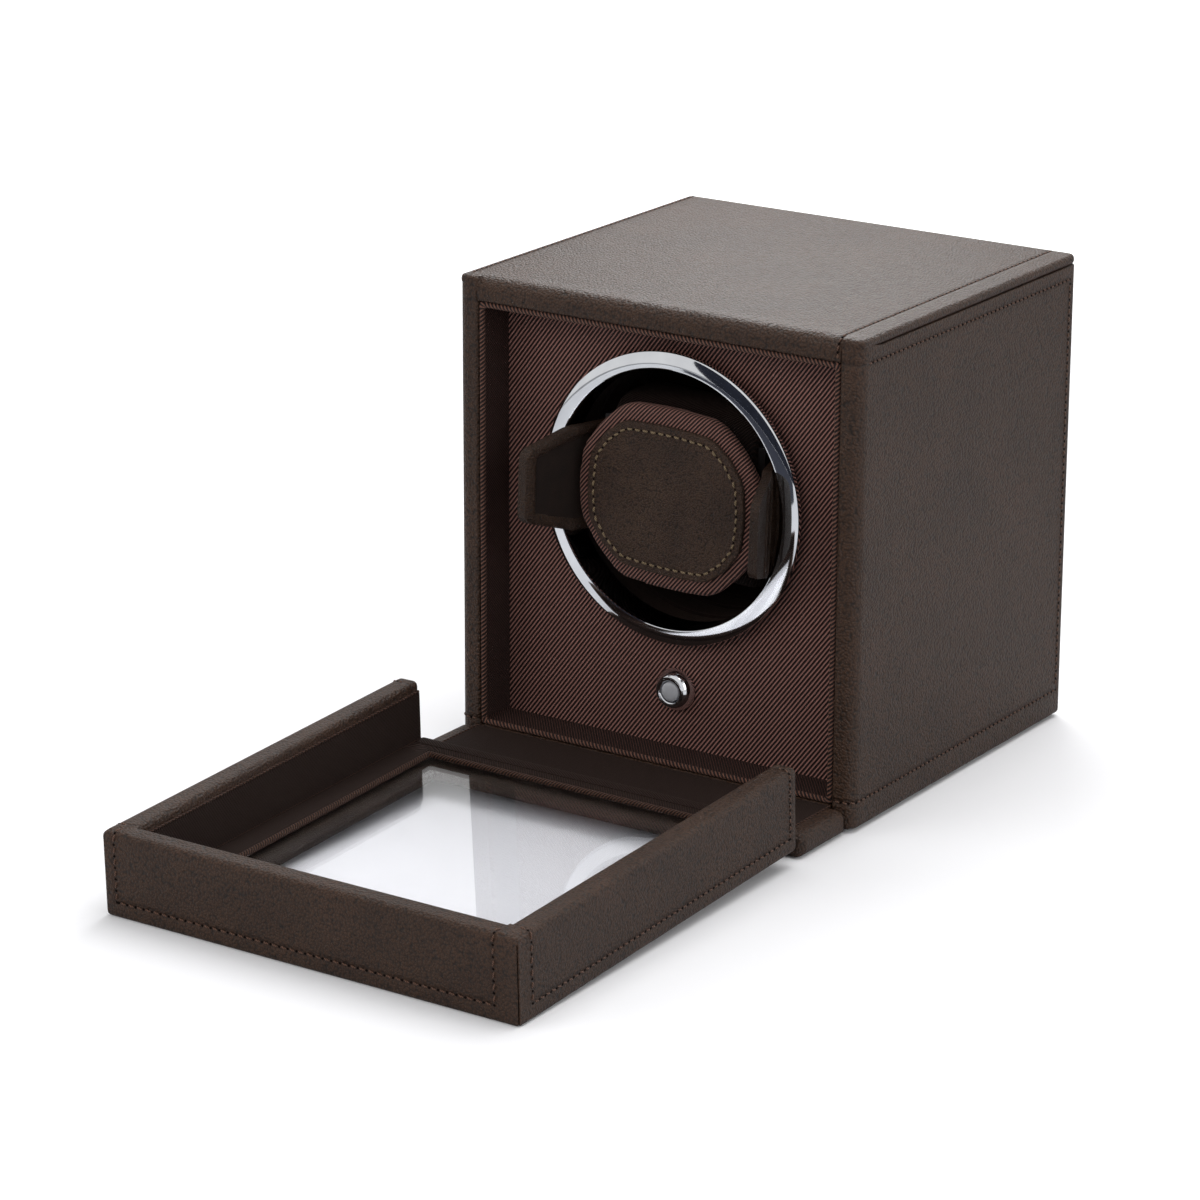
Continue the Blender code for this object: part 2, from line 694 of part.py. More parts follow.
def build_drum(drum):
    """The cup, its cuff socket, the shaft with its clip, and the driven gear."""
    outer = DRUM_BORE + DRUM_WALL
    bore = SHAFT_RADIUS + RUNNING
    pitch = DRUM_LENGTH / 4
    inside = [(bore, -DRUM_FLOOR_FRONT), (DRUM_BORE, -DRUM_FLOOR_FRONT)]
    for rib in range(3, 0, -1):
        middle = -DRUM_FRONT - rib * pitch
        inside += [
            (DRUM_BORE, middle - DRUM_RIB_WIDTH),
            (DRUM_BORE - DRUM_RIB, middle - DRUM_RIB_WIDTH / 2),
            (DRUM_BORE - DRUM_RIB, middle + DRUM_RIB_WIDTH / 2),
            (DRUM_BORE, middle + DRUM_RIB_WIDTH),
        ]
    profile = [
        (outer, -DRUM_FRONT),
        (outer, -DRUM_FLOOR_BACK),
        (bore, -DRUM_FLOOR_BACK),
        *inside,
        (DRUM_BORE, -DRUM_FRONT),
    ]
    turned("drum_cup", profile, BLACK_PLASTIC, drum)

    head_front = -(DRUM_FLOOR_FRONT - GAP - SHAFT_HEAD)
    head_back = -(DRUM_FLOOR_FRONT - GAP)
    tail = -(PLATE_BACK + BUSH_LENGTH - PLATE + SHAFT_TAIL)
    turned(
        "drum_shaft",
        [
            (0.0, head_front),
            (SHAFT_HEAD_RADIUS, head_front),
            (SHAFT_HEAD_RADIUS, head_back),
            (SHAFT_RADIUS, head_back),
            (SHAFT_RADIUS, tail),
            (0.0, tail),
        ],
        STEEL,
        drum,
        SMALL_STEPS,
        closed=False,
    )
    inner = rounded_rectangle(FOOT_WIDTH + 2 * GAP, FOOT_HEIGHT + 2 * GAP, SOFT_EDGE, 2)
    sleeve = rounded_rectangle(
        FOOT_WIDTH + 2 * SOCKET_WALL, FOOT_HEIGHT + 2 * SOCKET_WALL + SHAFT_HEAD, SOCKET_WALL, 3
    )
    socket_back = -(DRUM_FLOOR_FRONT - GAP)
    socket = prism(
        "cuff_socket", [sleeve, inner], socket_back, socket_back + SOCKET, BLACK_PLASTIC, drum
    )
    drill(
        socket,
        "shaft_head_room",
        SHAFT_HEAD_RADIUS + GAP,
        socket_back - OVERRUN,
        head_front + GAP,
        drum,
    )
    phase = PINION_ANGLE + DRUM_LEAN
    gear = prism(
        "drum_gear",
        [gear_outline(GEAR_TEETH, phase), circle(bore, SMALL_STEPS)],
        -GEAR_BACK,
        -GEAR_FRONT,
        ACETAL,
        drum,
    )
    hub_bore = circle(bore, SMALL_STEPS)
    hub_rim = circle(BUSH_FLANGE_RADIUS, ROUND_STEPS // 2)
    hub = prism(
        "gear_hub", [hub_rim, hub_bore], -GEAR_FRONT - GAP, -DRUM_FLOOR_BACK - GAP, ACETAL, drum
    )
    combine(gear, hub, "UNION")
    clip_front = -(PLATE_BACK + BUSH_LENGTH - PLATE + GAP)
    turned(
        "shaft_clip",
        [
            (CLIP_RADIUS, clip_front),
            (CLIP_RADIUS, clip_front - CLIP),
            (SHAFT_RADIUS + RUNNING, clip_front - CLIP),
            (SHAFT_RADIUS + RUNNING, clip_front),
        ],
        STEEL,
        drum,
        SMALL_STEPS,
    )


def build_mechanism(works):
    """The moulded frame, a plate on four legs, with the bush and the gearmotor."""
    motor_x = MESH_DISTANCE * math.cos(PINION_ANGLE)
    motor_y = MESH_DISTANCE * math.sin(PINION_ANGLE)
    bush_outer = SHAFT_RADIUS + RUNNING + BUSH_WALL
    frame = prism(
        "mechanism_frame",
        [
            rounded_rectangle(PLATE_WIDTH, PLATE_WIDTH, PLATE_CORNER),
            circle(bush_outer + GAP, SMALL_STEPS),
            circle(MOTOR_BOSS_RADIUS + GAP, SMALL_STEPS, (motor_x, motor_y)),
            circle(SCREW_RADIUS + GAP, SMALL_STEPS // 2, (motor_x - MOTOR_SCREW_SPREAD, motor_y)),
            circle(SCREW_RADIUS + GAP, SMALL_STEPS // 2, (motor_x + MOTOR_SCREW_SPREAD, motor_y)),
        ],
        -PLATE_BACK,
        -PLATE_FRONT,
        BLACK_PLASTIC,
        works,
    )
    foot_front = -(FASCIA_BACK + GAP)
    leg_end = -(PLATE_FRONT + PLATE / 2)
    corners = [(x * LEG_SPREAD, y * LEG_SPREAD) for x in (-1, 1) for y in (-1, 1)]
    for number, (x, y) in enumerate(corners, 1):
        leg = turned(
            f"frame_leg_{number}",
            [
                (0.0, foot_front),
                (LEG_FOOT_RADIUS, foot_front),
                (LEG_FOOT_RADIUS, foot_front - LEG_FOOT),
                (LEG_RADIUS, foot_front - LEG_FOOT),
                (LEG_RADIUS, leg_end),
                (0.0, leg_end),
            ],
            BLACK_PLASTIC,
            works,
            SMALL_STEPS,
            closed=False,
        )
        leg.location = (x, y, 0.0)
        combine(frame, leg, "UNION")
    flange_front = -(PLATE_FRONT - GAP)
    bush_back = -(PLATE_BACK + BUSH_LENGTH - PLATE)
    turned(
        "shaft_bush",
        [
            (BUSH_FLANGE_RADIUS, flange_front + BUSH_FLANGE),
            (BUSH_FLANGE_RADIUS, flange_front),
            (bush_outer, flange_front),
            (bush_outer, bush_back),
            (SHAFT_RADIUS + RUNNING, bush_back),
            (SHAFT_RADIUS + RUNNING, flange_front + BUSH_FLANGE),
        ],
        BRASS,
        works,
        SMALL_STEPS,
    )
    build_motor(works, motor_x, motor_y)


def build_screw(name, parent, seat, length, forward=1):
    """A pan-head screw: its head behind seat, its shank running forward from it."""
    rise = SCREW_HEAD * forward
    profile = [
        (0.0, seat + length * forward),
        (SCREW_RADIUS, seat + length * forward),
        (SCREW_RADIUS, seat),
        (SCREW_HEAD_RADIUS, seat),
        (SCREW_HEAD_RADIUS, seat - rise / 2),
        (SCREW_HEAD_RADIUS - SCREW_HEAD / 2, seat - rise),
        (0.0, seat - rise),
    ]
    if forward < 0:
        profile.reverse()
    return turned(name, profile, STEEL, parent, SMALL_STEPS // 2 + 2, closed=False)


def build_motor(works, x, y):
    """Gearbox and can as one sealed unit with a hollow boss, and its shaft and pinion."""
    boss_front = -(MOTOR_FRONT - MOTOR_BOSS)
    shaft_bore = MOTOR_SHAFT_RADIUS + RUNNING
    bore_end = -(MOTOR_FRONT + MOTOR_BOSS)
    motor = turned(
        "gear_motor",
        [
            (shaft_bore, boss_front),
            (MOTOR_BOSS_RADIUS, boss_front),
            (MOTOR_BOSS_RADIUS, -MOTOR_FRONT),
            (MOTOR_RADIUS, -MOTOR_FRONT),
            (MOTOR_RADIUS, -(MOTOR_FRONT + MOTOR_GEARBOX)),
            (MOTOR_CAN_RADIUS, -(MOTOR_FRONT + MOTOR_GEARBOX)),
            (MOTOR_CAN_RADIUS, -MOTOR_BACK),
            (0.0, -MOTOR_BACK),
            (0.0, bore_end),
            (shaft_bore, bore_end),
        ],
        STEEL,
        works,
        ROUND_STEPS // 2,
        closed=True,
    )
    motor.location = (x, y, 0.0)
    seat = -(PLATE_FRONT - GAP)
    for number, sign in ((1, -1), (2, 1)):
        screw = build_screw(f"motor_screw_{number}", works, seat, PLATE + SCREW_HEAD, forward=-1)
        screw.location = (x + sign * MOTOR_SCREW_SPREAD, y, 0.0)
        drill(
            motor,
            f"motor_screw_hole_{number}",
            SCREW_RADIUS + GAP,
            -(MOTOR_FRONT + SCREW_HEAD + GAP),
            -MOTOR_FRONT + OVERRUN,
            works,
            (x + sign * MOTOR_SCREW_SPREAD, y, 0.0),
        )
    spindle = pivot("pinion_axis", (x, y, 0.0), parent=works)
    phase = PINION_ANGLE + math.pi + math.pi / PINION_TEETH
    bore = circle(shaft_bore, SMALL_STEPS // 2)
    prism(
        "motor_pinion",
        [gear_outline(PINION_TEETH, phase), bore],
        -GEAR_BACK,
        -GEAR_FRONT,
        BRASS,
        spindle,
    )
    rod("motor_shaft", MOTOR_SHAFT_RADIUS, bore_end + GAP, GAP - GEAR_FRONT, STEEL, spindle, SMALL_STEPS // 2)


def build_button(works):
    """Bezel and nut, the clear cap that presses the switch, the lamp, and the card."""
    seat = -(RECESS_DEPTH - GAP)
    crown = BEZEL_PROUD - RECESS_DEPTH
    bore = CAP_RADIUS + GAP
    collar_end = -(FASCIA_BACK + BEZEL_COLLAR)
    centre = (0.0, BUTTON_DROP, 0.0)
    bezel = turned(
        "button_bezel",
        [
            (BEZEL_FRONT_RADIUS, crown),
            (BEZEL_RADIUS - SOFT_EDGE, seat + SOFT_EDGE * 2),
            (BEZEL_RADIUS, seat + SOFT_EDGE),
            (BEZEL_RADIUS, seat),
            (BEZEL_COLLAR_RADIUS, seat),
            (BEZEL_COLLAR_RADIUS, collar_end),
            (bore, collar_end),
            (bore, crown - SOFT_EDGE),
            (bore + SOFT_EDGE, crown),
        ],
        CHROME,
        works,
        ROUND_STEPS // 2,
    )
    bezel.location = centre
    nut = prism(
        "bezel_nut",
        [circle(NUT_WIDTH / math.sqrt(3), 6), circle(BEZEL_COLLAR_RADIUS + GAP / 2, SMALL_STEPS)],
        -(FASCIA_BACK + GAP + NUT),
        -(FASCIA_BACK + GAP),
        BRASS,
        works,
    )
    nut.location = centre

    button = pivot("button_axis", centre, parent=works)
    front = crown - CAP_PROUD
    sleeve_end = -(FASCIA_BACK + BEZEL_COLLAR + BUTTON_TRAVEL + PLUNGER)
    dome = [(CAP_RADIUS * x, front + CAP_SLEEVE * z) for x, z in CAP_DOME_SHARES]
    lamp_bore = LED_RADIUS + GAP
    switch_back_wall = GAP * 2
    switch_back = sleeve_end - BUTTON_TRAVEL - GAP - switch_back_wall
    lamp_back = switch_back + switch_back_wall + GAP
    lamp_front = lamp_back + LED
    turned(
        "button_cap",
        [
            (0.0, front + CAP_SLEEVE),
            *dome,
            (CAP_RADIUS, front),
            (CAP_RADIUS, collar_end - GAP),
            (CAP_FLANGE_RADIUS, collar_end - GAP),
            (CAP_FLANGE_RADIUS, collar_end - GAP - CAP_FLANGE),
            (CAP_RADIUS, collar_end - GAP - CAP_FLANGE),
            (CAP_RADIUS, sleeve_end),
            (lamp_bore, sleeve_end),
            (lamp_bore, lamp_front + BUTTON_TRAVEL + GAP),
            (0.0, lamp_front + BUTTON_TRAVEL + GAP),
        ],
        CLEAR,
        button,
        ROUND_STEPS // 2,
        closed=False,
    )
    lamp_crown, lamp_drop = LED_DOME_SHARES
    half = SWITCH_WIDTH / 2
    switch = box(
        "switch_body",
        (-half, -half, switch_back),
        (half, half, switch_back + SWITCH),
        BLACK_PLASTIC,
        works,
    )
    switch.location = centre
    drill(
        switch,
        "plunger_bore",
        CAP_RADIUS + GAP,
        switch_back + switch_back_wall,
        switch_back + SWITCH + OVERRUN,
        works,
        centre,
    )
    lamp = turned(
        "indicator_lamp",
        [
            (0.0, lamp_front),
            (LED_RADIUS * lamp_crown, lamp_front - LED_RADIUS * lamp_drop),
            (LED_RADIUS, lamp_front - LED_RADIUS),
            (LED_RADIUS, lamp_back),
            (0.0, lamp_back),
        ],
        CLEAR,
        works,
        SMALL_STEPS,
        closed=False,
    )
    lamp.location = centre
    return build_card(works, switch_back - GAP)


def build_card(works, card_front):
    """The control card behind the switch, on two spacers. It returns its lead's place."""
    drum_low = -(DRUM_BORE + DRUM_WALL)
    high = drum_low - CARD_MARGIN
    low = BASE_TOP + CARD_MARGIN - DRUM_Z
    half = BOARD_WIDTH / 2
    card_back = card_front - BOARD_CARD
    card = box(
        "control_card",
        (-half, low, card_back),
        (half, high, card_front),
        CARD_GREEN,
        works,
    )
    chip_x = half - CARD_MARGIN - CHIP_WIDTH
    chip = box(
        "card_chip",
        (chip_x, BUTTON_DROP - CHIP_WIDTH / 2, card_back - CHIP),
        (chip_x + CHIP_WIDTH, BUTTON_DROP + CHIP_WIDTH / 2, card_back + GAP),
        CARD_GREEN,
        works,
    )
    combine(card, chip, "UNION")
    socket = box(
        "card_socket",
        (-half + CARD_MARGIN, low + CARD_MARGIN / 2, card_back - PLUG_BLOCK),
        (-half + CARD_MARGIN + 3 * PLUG_BLOCK, low + CARD_MARGIN / 2 + PLUG_BLOCK, card_back + GAP),
        CARD_GREEN,
        works,
    )
    combine(card, socket, "UNION")
    spacer_x = half - CARD_SPACER_RADIUS
    for side, sign in (("left", -1), ("right", 1)):
        spacer = rod(
            f"card_spacer_{side}",
            CARD_SPACER_RADIUS,
            card_front + GAP,
            -(FASCIA_BACK + GAP),
            ACETAL,
            works,
            SMALL_STEPS // 2,
        )
        spacer.location = (sign * spacer_x, BUTTON_DROP, 0.0)
    lead_y = low + CARD_MARGIN / 2 + PLUG_BLOCK / 2
    lead_z = card_back - PLUG_BLOCK - GAP
    return Vector((-half + CARD_MARGIN + PLUG_BLOCK / 2, lead_y, lead_z)), PLUG_BLOCK * 2


def build_inlet(rear, works, card_lead, lead_step):
    """The adapter inlet with its pin, its nut, and the two leads inside the case."""
    rear_back = CASE_DEPTH - REAR_SETBACK
    rear_front = rear_back - BOARD
    x = INLET_SIDE_SHARE * INNER_SIDE
    y = INLET_HEIGHT - DRUM_Z
    place_at = (x, y, 0.0)
    mouth = -(rear_back + GAP + INLET_FLANGE)
    flange = -(rear_back + GAP)
    end = flange + INLET_LENGTH + GAP
    floor = mouth + INLET_BORE_DEPTH
    inlet = turned(
        "power_inlet",
        [
            (0.0, end),
            (INLET_RADIUS, end),
            (INLET_RADIUS, flange),
            (INLET_FLANGE_RADIUS, flange),
            (INLET_FLANGE_RADIUS, mouth),
            (INLET_BORE, mouth),
            (INLET_BORE, floor),
            (INLET_PIN, floor),
            (INLET_PIN, mouth + INLET_FLANGE),
            (0.0, mouth + INLET_FLANGE),
        ],
        BLACK_PLASTIC,
        works,
        SMALL_STEPS,
        closed=False,
    )
    inlet.location = place_at
    drill(
        rear,
        "inlet_hole",
        INLET_RADIUS + GAP,
        -(rear_back + OVERRUN),
        -(rear_front - OVERRUN),
        works,
        place_at,
    )
    nut = prism(
        "inlet_nut",
        [circle(NUT_WIDTH / math.sqrt(3), 6), circle(INLET_RADIUS + GAP / 2, SMALL_STEPS)],
        -(rear_front - GAP),
        -(rear_front - GAP - NUT),
        BRASS,
        works,
    )
    nut.location = place_at

    motor_x = MESH_DISTANCE * math.cos(PINION_ANGLE)
    motor_y = MESH_DISTANCE * math.sin(PINION_ANGLE)
    exit_y = motor_y - MOTOR_CAN_RADIUS / 2
    below = motor_y - MOTOR_RADIUS - LEAD_RUN
    behind = -(MOTOR_BACK + 2 * GAP)
    forward = Vector((0.0, 0.0, LEAD_RUN))
    corners = [
        Vector((motor_x, exit_y, behind)),
        Vector((motor_x, exit_y, behind - LEAD_BACK)),
        Vector((motor_x, below, behind - LEAD_BACK)),
        card_lead - forward,
        card_lead,
    ]
    route = bent_route(corners, LEAD_BEND, LEAD_STEPS)
    tube("motor_lead", route, LEAD_RADIUS, WIRE, works, 1)
    start = Vector((x, y, end + GAP))
    second = card_lead + Vector((lead_step, 0.0, 0.0))
    corners = [start, start + forward, second - forward, second]
    route = bent_route(corners, LEAD_BEND, LEAD_STEPS)
    tube("inlet_lead", route, LEAD_RADIUS, WIRE, works, 1)


def build_hinge():
    """The fixed board in front of the case, and the leather on its front."""
    half = CASE_WIDTH / 2 - HINGE_BOARD_INSET
    front = FRONT_Y - LID_DEPTH + HINGE_LEATHER + GAP
    box(
        "hinge_board",
        (-half, front, GAP),
        (half, FRONT_Y - GAP, HINGE_BOARD),
        LEATHER,
        edge=HINGE_BOARD_EDGE,
        segments=3,
    )
    box(
        "hinge_apron",
        (-LID_SIDE, FRONT_Y - LID_DEPTH, HINGE_BOARD_EDGE),
        (LID_SIDE, FRONT_Y - LID_DEPTH + HINGE_LEATHER, HINGE_HEIGHT - GAP),
        LEATHER,
    )


def build_lid(roof):
    """The cover, in a frame whose X runs to the left, Y away from the hinge, Z up.

    Walls with mitred far corners, the leather frame, the glass, the twill frame, the
    flexible leather at the hinge, and the magnets that hold the cover shut.
    """
    hinge = pivot(
        "lid_hinge", (0.0, FRONT_Y - LID_DEPTH, HINGE_HEIGHT), (-LID_TILT, 0.0, math.pi)
    )
    half = CASE_WIDTH / 2
    mitre = GAP / math.sqrt(2)
    far_inner = LID_LENGTH - LID_WALL
    far_wall = prism(
        "lid_wall_top",
        [
            [
                (-half + mitre, LID_LENGTH),
                (-LID_SIDE + mitre, far_inner),
                (LID_SIDE - mitre, far_inner),
                (half - mitre, LID_LENGTH),
            ]
        ],
        0.0,
        LID_WALL_HEIGHT,
        LEATHER,
        hinge,
        edge=LID_EDGE,
        segments=3,
    )
    for side, sign in (("left", 1), ("right", -1)):
        prism(
            f"lid_wall_{side}",
            [
                [
                    (sign * half, LID_HEEL),
                    (sign * half, LID_LENGTH - mitre),
                    (sign * LID_SIDE, far_inner - mitre),
                    (sign * LID_SIDE, LID_HEEL),
                ]
            ],
            0.0,
            LID_WALL_HEIGHT,
            LEATHER,
            hinge,
            edge=LID_EDGE,
            segments=3,
        )
    panel = rectangle(-LID_PANEL_SIDE, LID_PANEL_SIDE, LID_HEEL, LID_PANEL_FAR)

    def window(margin):
        side = LID_SIDE - margin
        return rectangle(-side, side, LID_HEEL + margin, far_inner - margin)

    prism("lid_frame", [panel, window(LID_FRAME_WIDTH)], 0.0, LID_FRAME, LEATHER, hinge, edge=SOFT_EDGE)
    prism(
        "lid_glass",
        [window(TWILL_FRAME_WIDTH - GLASS_SEAT)],
        GLASS_LOW,
        GLASS_LOW + GLASS,
        GLASS_FINISH,
        hinge,
    )
    prism(
        "lid_twill_frame",
        [panel, window(TWILL_FRAME_WIDTH)],
        TWILL_LOW,
        TWILL_LOW + TWILL_FRAME,
        LINING,
        hinge,
        edge=SOFT_EDGE,
    )
    prism(
        "lid_hinge_leather",
        [rectangle(-LID_SIDE, LID_SIDE, GAP, LID_HEEL - GAP)],
        0.0,
        HINGE_LEATHER,
        LEATHER,
        hinge,
    )
    magnet_x = MAGNET_SIDE_SHARE * INNER_SIDE
    sunk = LID_WALL_HEIGHT - GAP
    magnet_y = LID_LENGTH - LID_WALL / 2
    case_z = HINGE_HEIGHT + magnet_y
    for side, sign in (("left", -1), ("right", 1)):
        lid_magnet = rod(
            f"lid_magnet_{side}", MAGNET_RADIUS, sunk - MAGNET, sunk, MAGNET_FINISH, hinge
        )
        lid_magnet.location = (-sign * magnet_x, magnet_y, 0.0)
        drill(
            far_wall,
            f"lid_magnet_pocket_{side}",
            MAGNET_RADIUS + GAP,
            sunk - MAGNET - GAP,
            LID_WALL_HEIGHT + OVERRUN,
            hinge,
            lid_magnet.location,
        )
        upright = (math.pi / 2, 0.0, 0.0)
        case_magnet = rod(
            f"case_magnet_{side}",
            MAGNET_RADIUS,
            -MAGNET_COVER - MAGNET,
            -MAGNET_COVER,
            MAGNET_FINISH,
        )
        case_magnet.location = (sign * magnet_x, FRONT_Y, case_z)
        case_magnet.rotation_euler = upright
        drill(
            roof,
            f"case_magnet_pocket_{side}",
            MAGNET_RADIUS + GAP,
            -MAGNET_COVER - MAGNET - GAP,
            GAP - MAGNET_COVER,
            None,
            case_magnet.location,
            upright,
        )
        slot_half = MAGNET_RADIUS + GAP
        slot = box(
            f"case_magnet_slot_{side}",
            (sign * magnet_x - slot_half, FRONT_Y + MAGNET_COVER - GAP, ROOF_LOW - OVERRUN),
            (sign * magnet_x + slot_half, FRONT_Y + MAGNET_COVER + MAGNET + GAP, case_z),
            LEATHER,
        )
        cut(roof, slot)


def build_cuff(drum):
    """The cuff that the watch goes round, and its foot in the drum's socket."""
    cuff = pivot("cuff_slide", (0.0, 0.0, 0.0), parent=drum)
    prism(
        "cuff_pad",
        [cushion_outline(PAD_WIDTH, PAD_HEIGHT)],
        PAD_BACK_Z,
        PAD_FRONT_Z,
        TWILL,
        cuff,
        edge=PAD_EDGE,
    )
    prism(
        "cuff_patch",
        [cushion_outline(PATCH_WIDTH, PATCH_HEIGHT)],
        PAD_FRONT_Z + GAP,
        PAD_FRONT_Z + GAP + PATCH,
        PATCH_LEATHER,
        cuff,
        edge=PATCH_EDGE,
        segments=1,
    )
    depth = CORE_FRONT_Z - CORE_BACK_Z
    rounds = rounded_rectangle(depth, CORE_HEIGHT, CORE_ROUND, 5)
    core = prism(
        "cuff_core",
        [rounds],
        -CORE_WIDTH / 2,
        CORE_WIDTH / 2,
        FOAM,
        cuff,
        edge=SOFT_EDGE * 2,
    )
    core.rotation_euler = (0.0, math.pi / 2, 0.0)
    core.location = (0.0, 0.0, (CORE_FRONT_Z + CORE_BACK_Z) / 2)
    foot_end = -(DRUM_FLOOR_FRONT - SHAFT_HEAD - FOOT_ROOM)
    box(
        "cuff_foot",
        (-FOOT_WIDTH / 2, -FOOT_HEIGHT / 2, foot_end),
        (FOOT_WIDTH / 2, FOOT_HEIGHT / 2, CORE_BACK_Z - GAP),
        BLACK_PLASTIC,
        cuff,
        edge=SOFT_EDGE,
    )
    for side, sign in (("left", -1), ("right", 1)):
        build_cheek(side, sign, cuff)
        build_tab(side, sign, cuff)


def build_cheek(side, sign, cuff):
    """The end plate of the core, with the two lugs that hold the tab's pin."""
    cheek_side = CORE_WIDTH / 2 + GAP
    outer = cheek_side + CHEEK
    near, far = sorted((sign * cheek_side, sign * outer))
    half = CHEEK_HEIGHT / 2
    cheek = box(
        f"cuff_cheek_{side}",
        (near, -half, CORE_BACK_Z + CORE_ROUND / 2),
        (far, half, CORE_FRONT_Z - CORE_ROUND / 4),
        BLACK_PLASTIC,
        cuff,
    )
    lug_inner = KNUCKLE_SPAN / 2 + GAP
    lug_far = PIN_SIDE + KNUCKLE_RADIUS
    for end, up in (("low", -1), ("high", 1)):
        y_low, y_high = sorted((up * lug_inner, up * (lug_inner + LUG)))
        x_low, x_high = sorted((sign * (outer - CHEEK / 2), sign * lug_far))
        lug = box(
            f"cheek_lug_{side}_{end}",
            (x_low, y_low, PIN_Z - KNUCKLE_RADIUS),
            (x_high, y_high, PIN_Z + KNUCKLE_RADIUS),
            BLACK_PLASTIC,
            cuff,
        )
        combine(cheek, lug, "UNION")
    reach = lug_inner + LUG
    upright = (math.pi / 2, 0.0, 0.0)
    drill(
        cheek,
        f"pin_hole_{side}",
        PIN_RADIUS + RUNNING,
        -reach - OVERRUN,
        reach + OVERRUN,
        cuff,
        (sign * PIN_SIDE, 0.0, PIN_Z),
        upright,
    )
    pin = rod(f"tab_pin_{side}", PIN_RADIUS, -reach, reach, STEEL, cuff, SMALL_STEPS // 2 + 2)
    pin.location = (sign * PIN_SIDE, 0.0, PIN_Z)
    pin.rotation_euler = upright


def tab_height(beyond):
    """A tab's height at a share of its flare, narrower towards the tip."""
    return TAB_ROOT_HEIGHT + (TAB_TIP_HEIGHT - TAB_ROOT_HEIGHT) * beyond


def tab_side(y, beyond):
    """How far a tab's inner face is from the drum's axis: an arc that flattens as it flares."""
    arc = math.sqrt(TAB_INNER_RADIUS ** 2 - (y * (1 - beyond)) ** 2)
    return arc + TAB_FLARE * beyond


def add_grip_ribs(shell, side, sign, tab, length):
    """Upright ribs across a tab's outer face, which follow its arc."""
    slope = math.atan(TAB_FLARE / TAB_REACH)
    for row in range(GRIP_RIBS):
        back = GRIP_FIRST + row * GRIP_PITCH
        beyond = max(0.0, 1 - back / TAB_REACH)
        skin = TAB / math.cos(slope) if beyond else TAB
        half = tab_height(beyond) / 2 - GRIP_MARGIN
        places = [half * (2 * i / GRIP_STEPS - 1) for i in range(GRIP_STEPS + 1)]
        line = [(tab_side(y, beyond) + skin - PIN_SIDE, y) for y in places]
        crest = [(sign * (x + GRIP_PROUD), y) for x, y in line]
        root = [(sign * (x - GRIP_SUNK), y) for x, y in reversed(line)]
        middle = length - back
        rib = prism(
            f"grip_rib_{side}_{row}",
            [crest + root],
            middle - GRIP_WIDTH / 2,
            middle + GRIP_WIDTH / 2,
            LEATHER,
            tab,
        )
        combine(shell, rib, "UNION")


def build_tab(side, sign, cuff):
    """A squeeze tab: a curved shell from its knuckle on the pin to a flared tip.

    The shell is a grid. Along it the radius holds to the cuff's front and then flares out,
    and across it the angle spans the tab's height, which narrows to the tip.
    """
    tab = pivot(f"tab_axis_{side}", (sign * PIN_SIDE, 0.0, PIN_Z), parent=cuff)
    bm = bmesh.new()
    bmesh.ops.create_grid(bm, x_segments=TAB_COLUMNS, y_segments=TAB_ROWS, size=1.0)
    length = PAD_FRONT_Z + TAB_REACH - PIN_Z
    for vertex in bm.verts:
        along = 1 - ((1 - vertex.co.y) / 2) ** TAB_CROWDING
        z = along * length
        beyond = max(0.0, 1 - (length - z) / TAB_REACH)
        corner = max(0.0, 1 - (length - z) / TAB_CORNER)
        height = tab_height(beyond) - 2 * TAB_CORNER * (1 - math.sqrt(1 - corner ** 2))
        y = vertex.co.x * height / 2
        vertex.co = (sign * (tab_side(y, beyond) - PIN_SIDE), y, z)
    bmesh.ops.recalc_face_normals(bm, faces=bm.faces)
    mesh = bpy.data.meshes.new(f"squeeze_tab_{side}")
    bm.to_mesh(mesh)
    bm.free()
    shell = place(bpy.data.objects.new(f"squeeze_tab_{side}", mesh), LEATHER, tab)
    outward = mesh.polygons[0].normal.x * sign > 0
    solidify = shell.modifiers.new("thickness", "SOLIDIFY")
    solidify.thickness = TAB
    solidify.offset = 1.0 if outward else -1.0
    solidify.use_even_offset = True
    add_grip_ribs(shell, side, sign, tab, length)
    knuckle_far = KNUCKLE_SPAN / 2
    upright = (math.pi / 2, 0.0, 0.0)
    knuckle = rod(
        f"tab_knuckle_{side}", KNUCKLE_RADIUS, -knuckle_far, knuckle_far, LEATHER, tab
    )
    knuckle.rotation_euler = upright
    combine(shell, knuckle, "UNION")
    room = box(
        f"spring_room_{side}",
        (-TAB, -SPRING_SPAN / 2, -KNUCKLE_RADIUS - OVERRUN),
        (TAB, SPRING_SPAN / 2, KNUCKLE_RADIUS + GAP),
        LEATHER,
        tab,
    )
    cut(shell, room)
    drill(
        shell,
        f"knuckle_bore_{side}",
        PIN_RADIUS + RUNNING,
        -knuckle_far - OVERRUN,
        knuckle_far + OVERRUN,
        tab,
        rotation=upright,
    )
    for end, up in (("low", -1), ("high", 1)):
        y_low, y_high = sorted((up * knuckle_far, up * (TAB_ROOT_HEIGHT / 2 + OVERRUN)))
        lug_room = box(
            f"lug_room_{side}_{end}",
            (-TAB * 2, y_low, -KNUCKLE_RADIUS - OVERRUN),
            (TAB * 2, y_high, KNUCKLE_RADIUS + GAP * 2),
            LEATHER,
            tab,
        )
        cut(shell, lug_room)
    build_spring(side, sign, cuff)


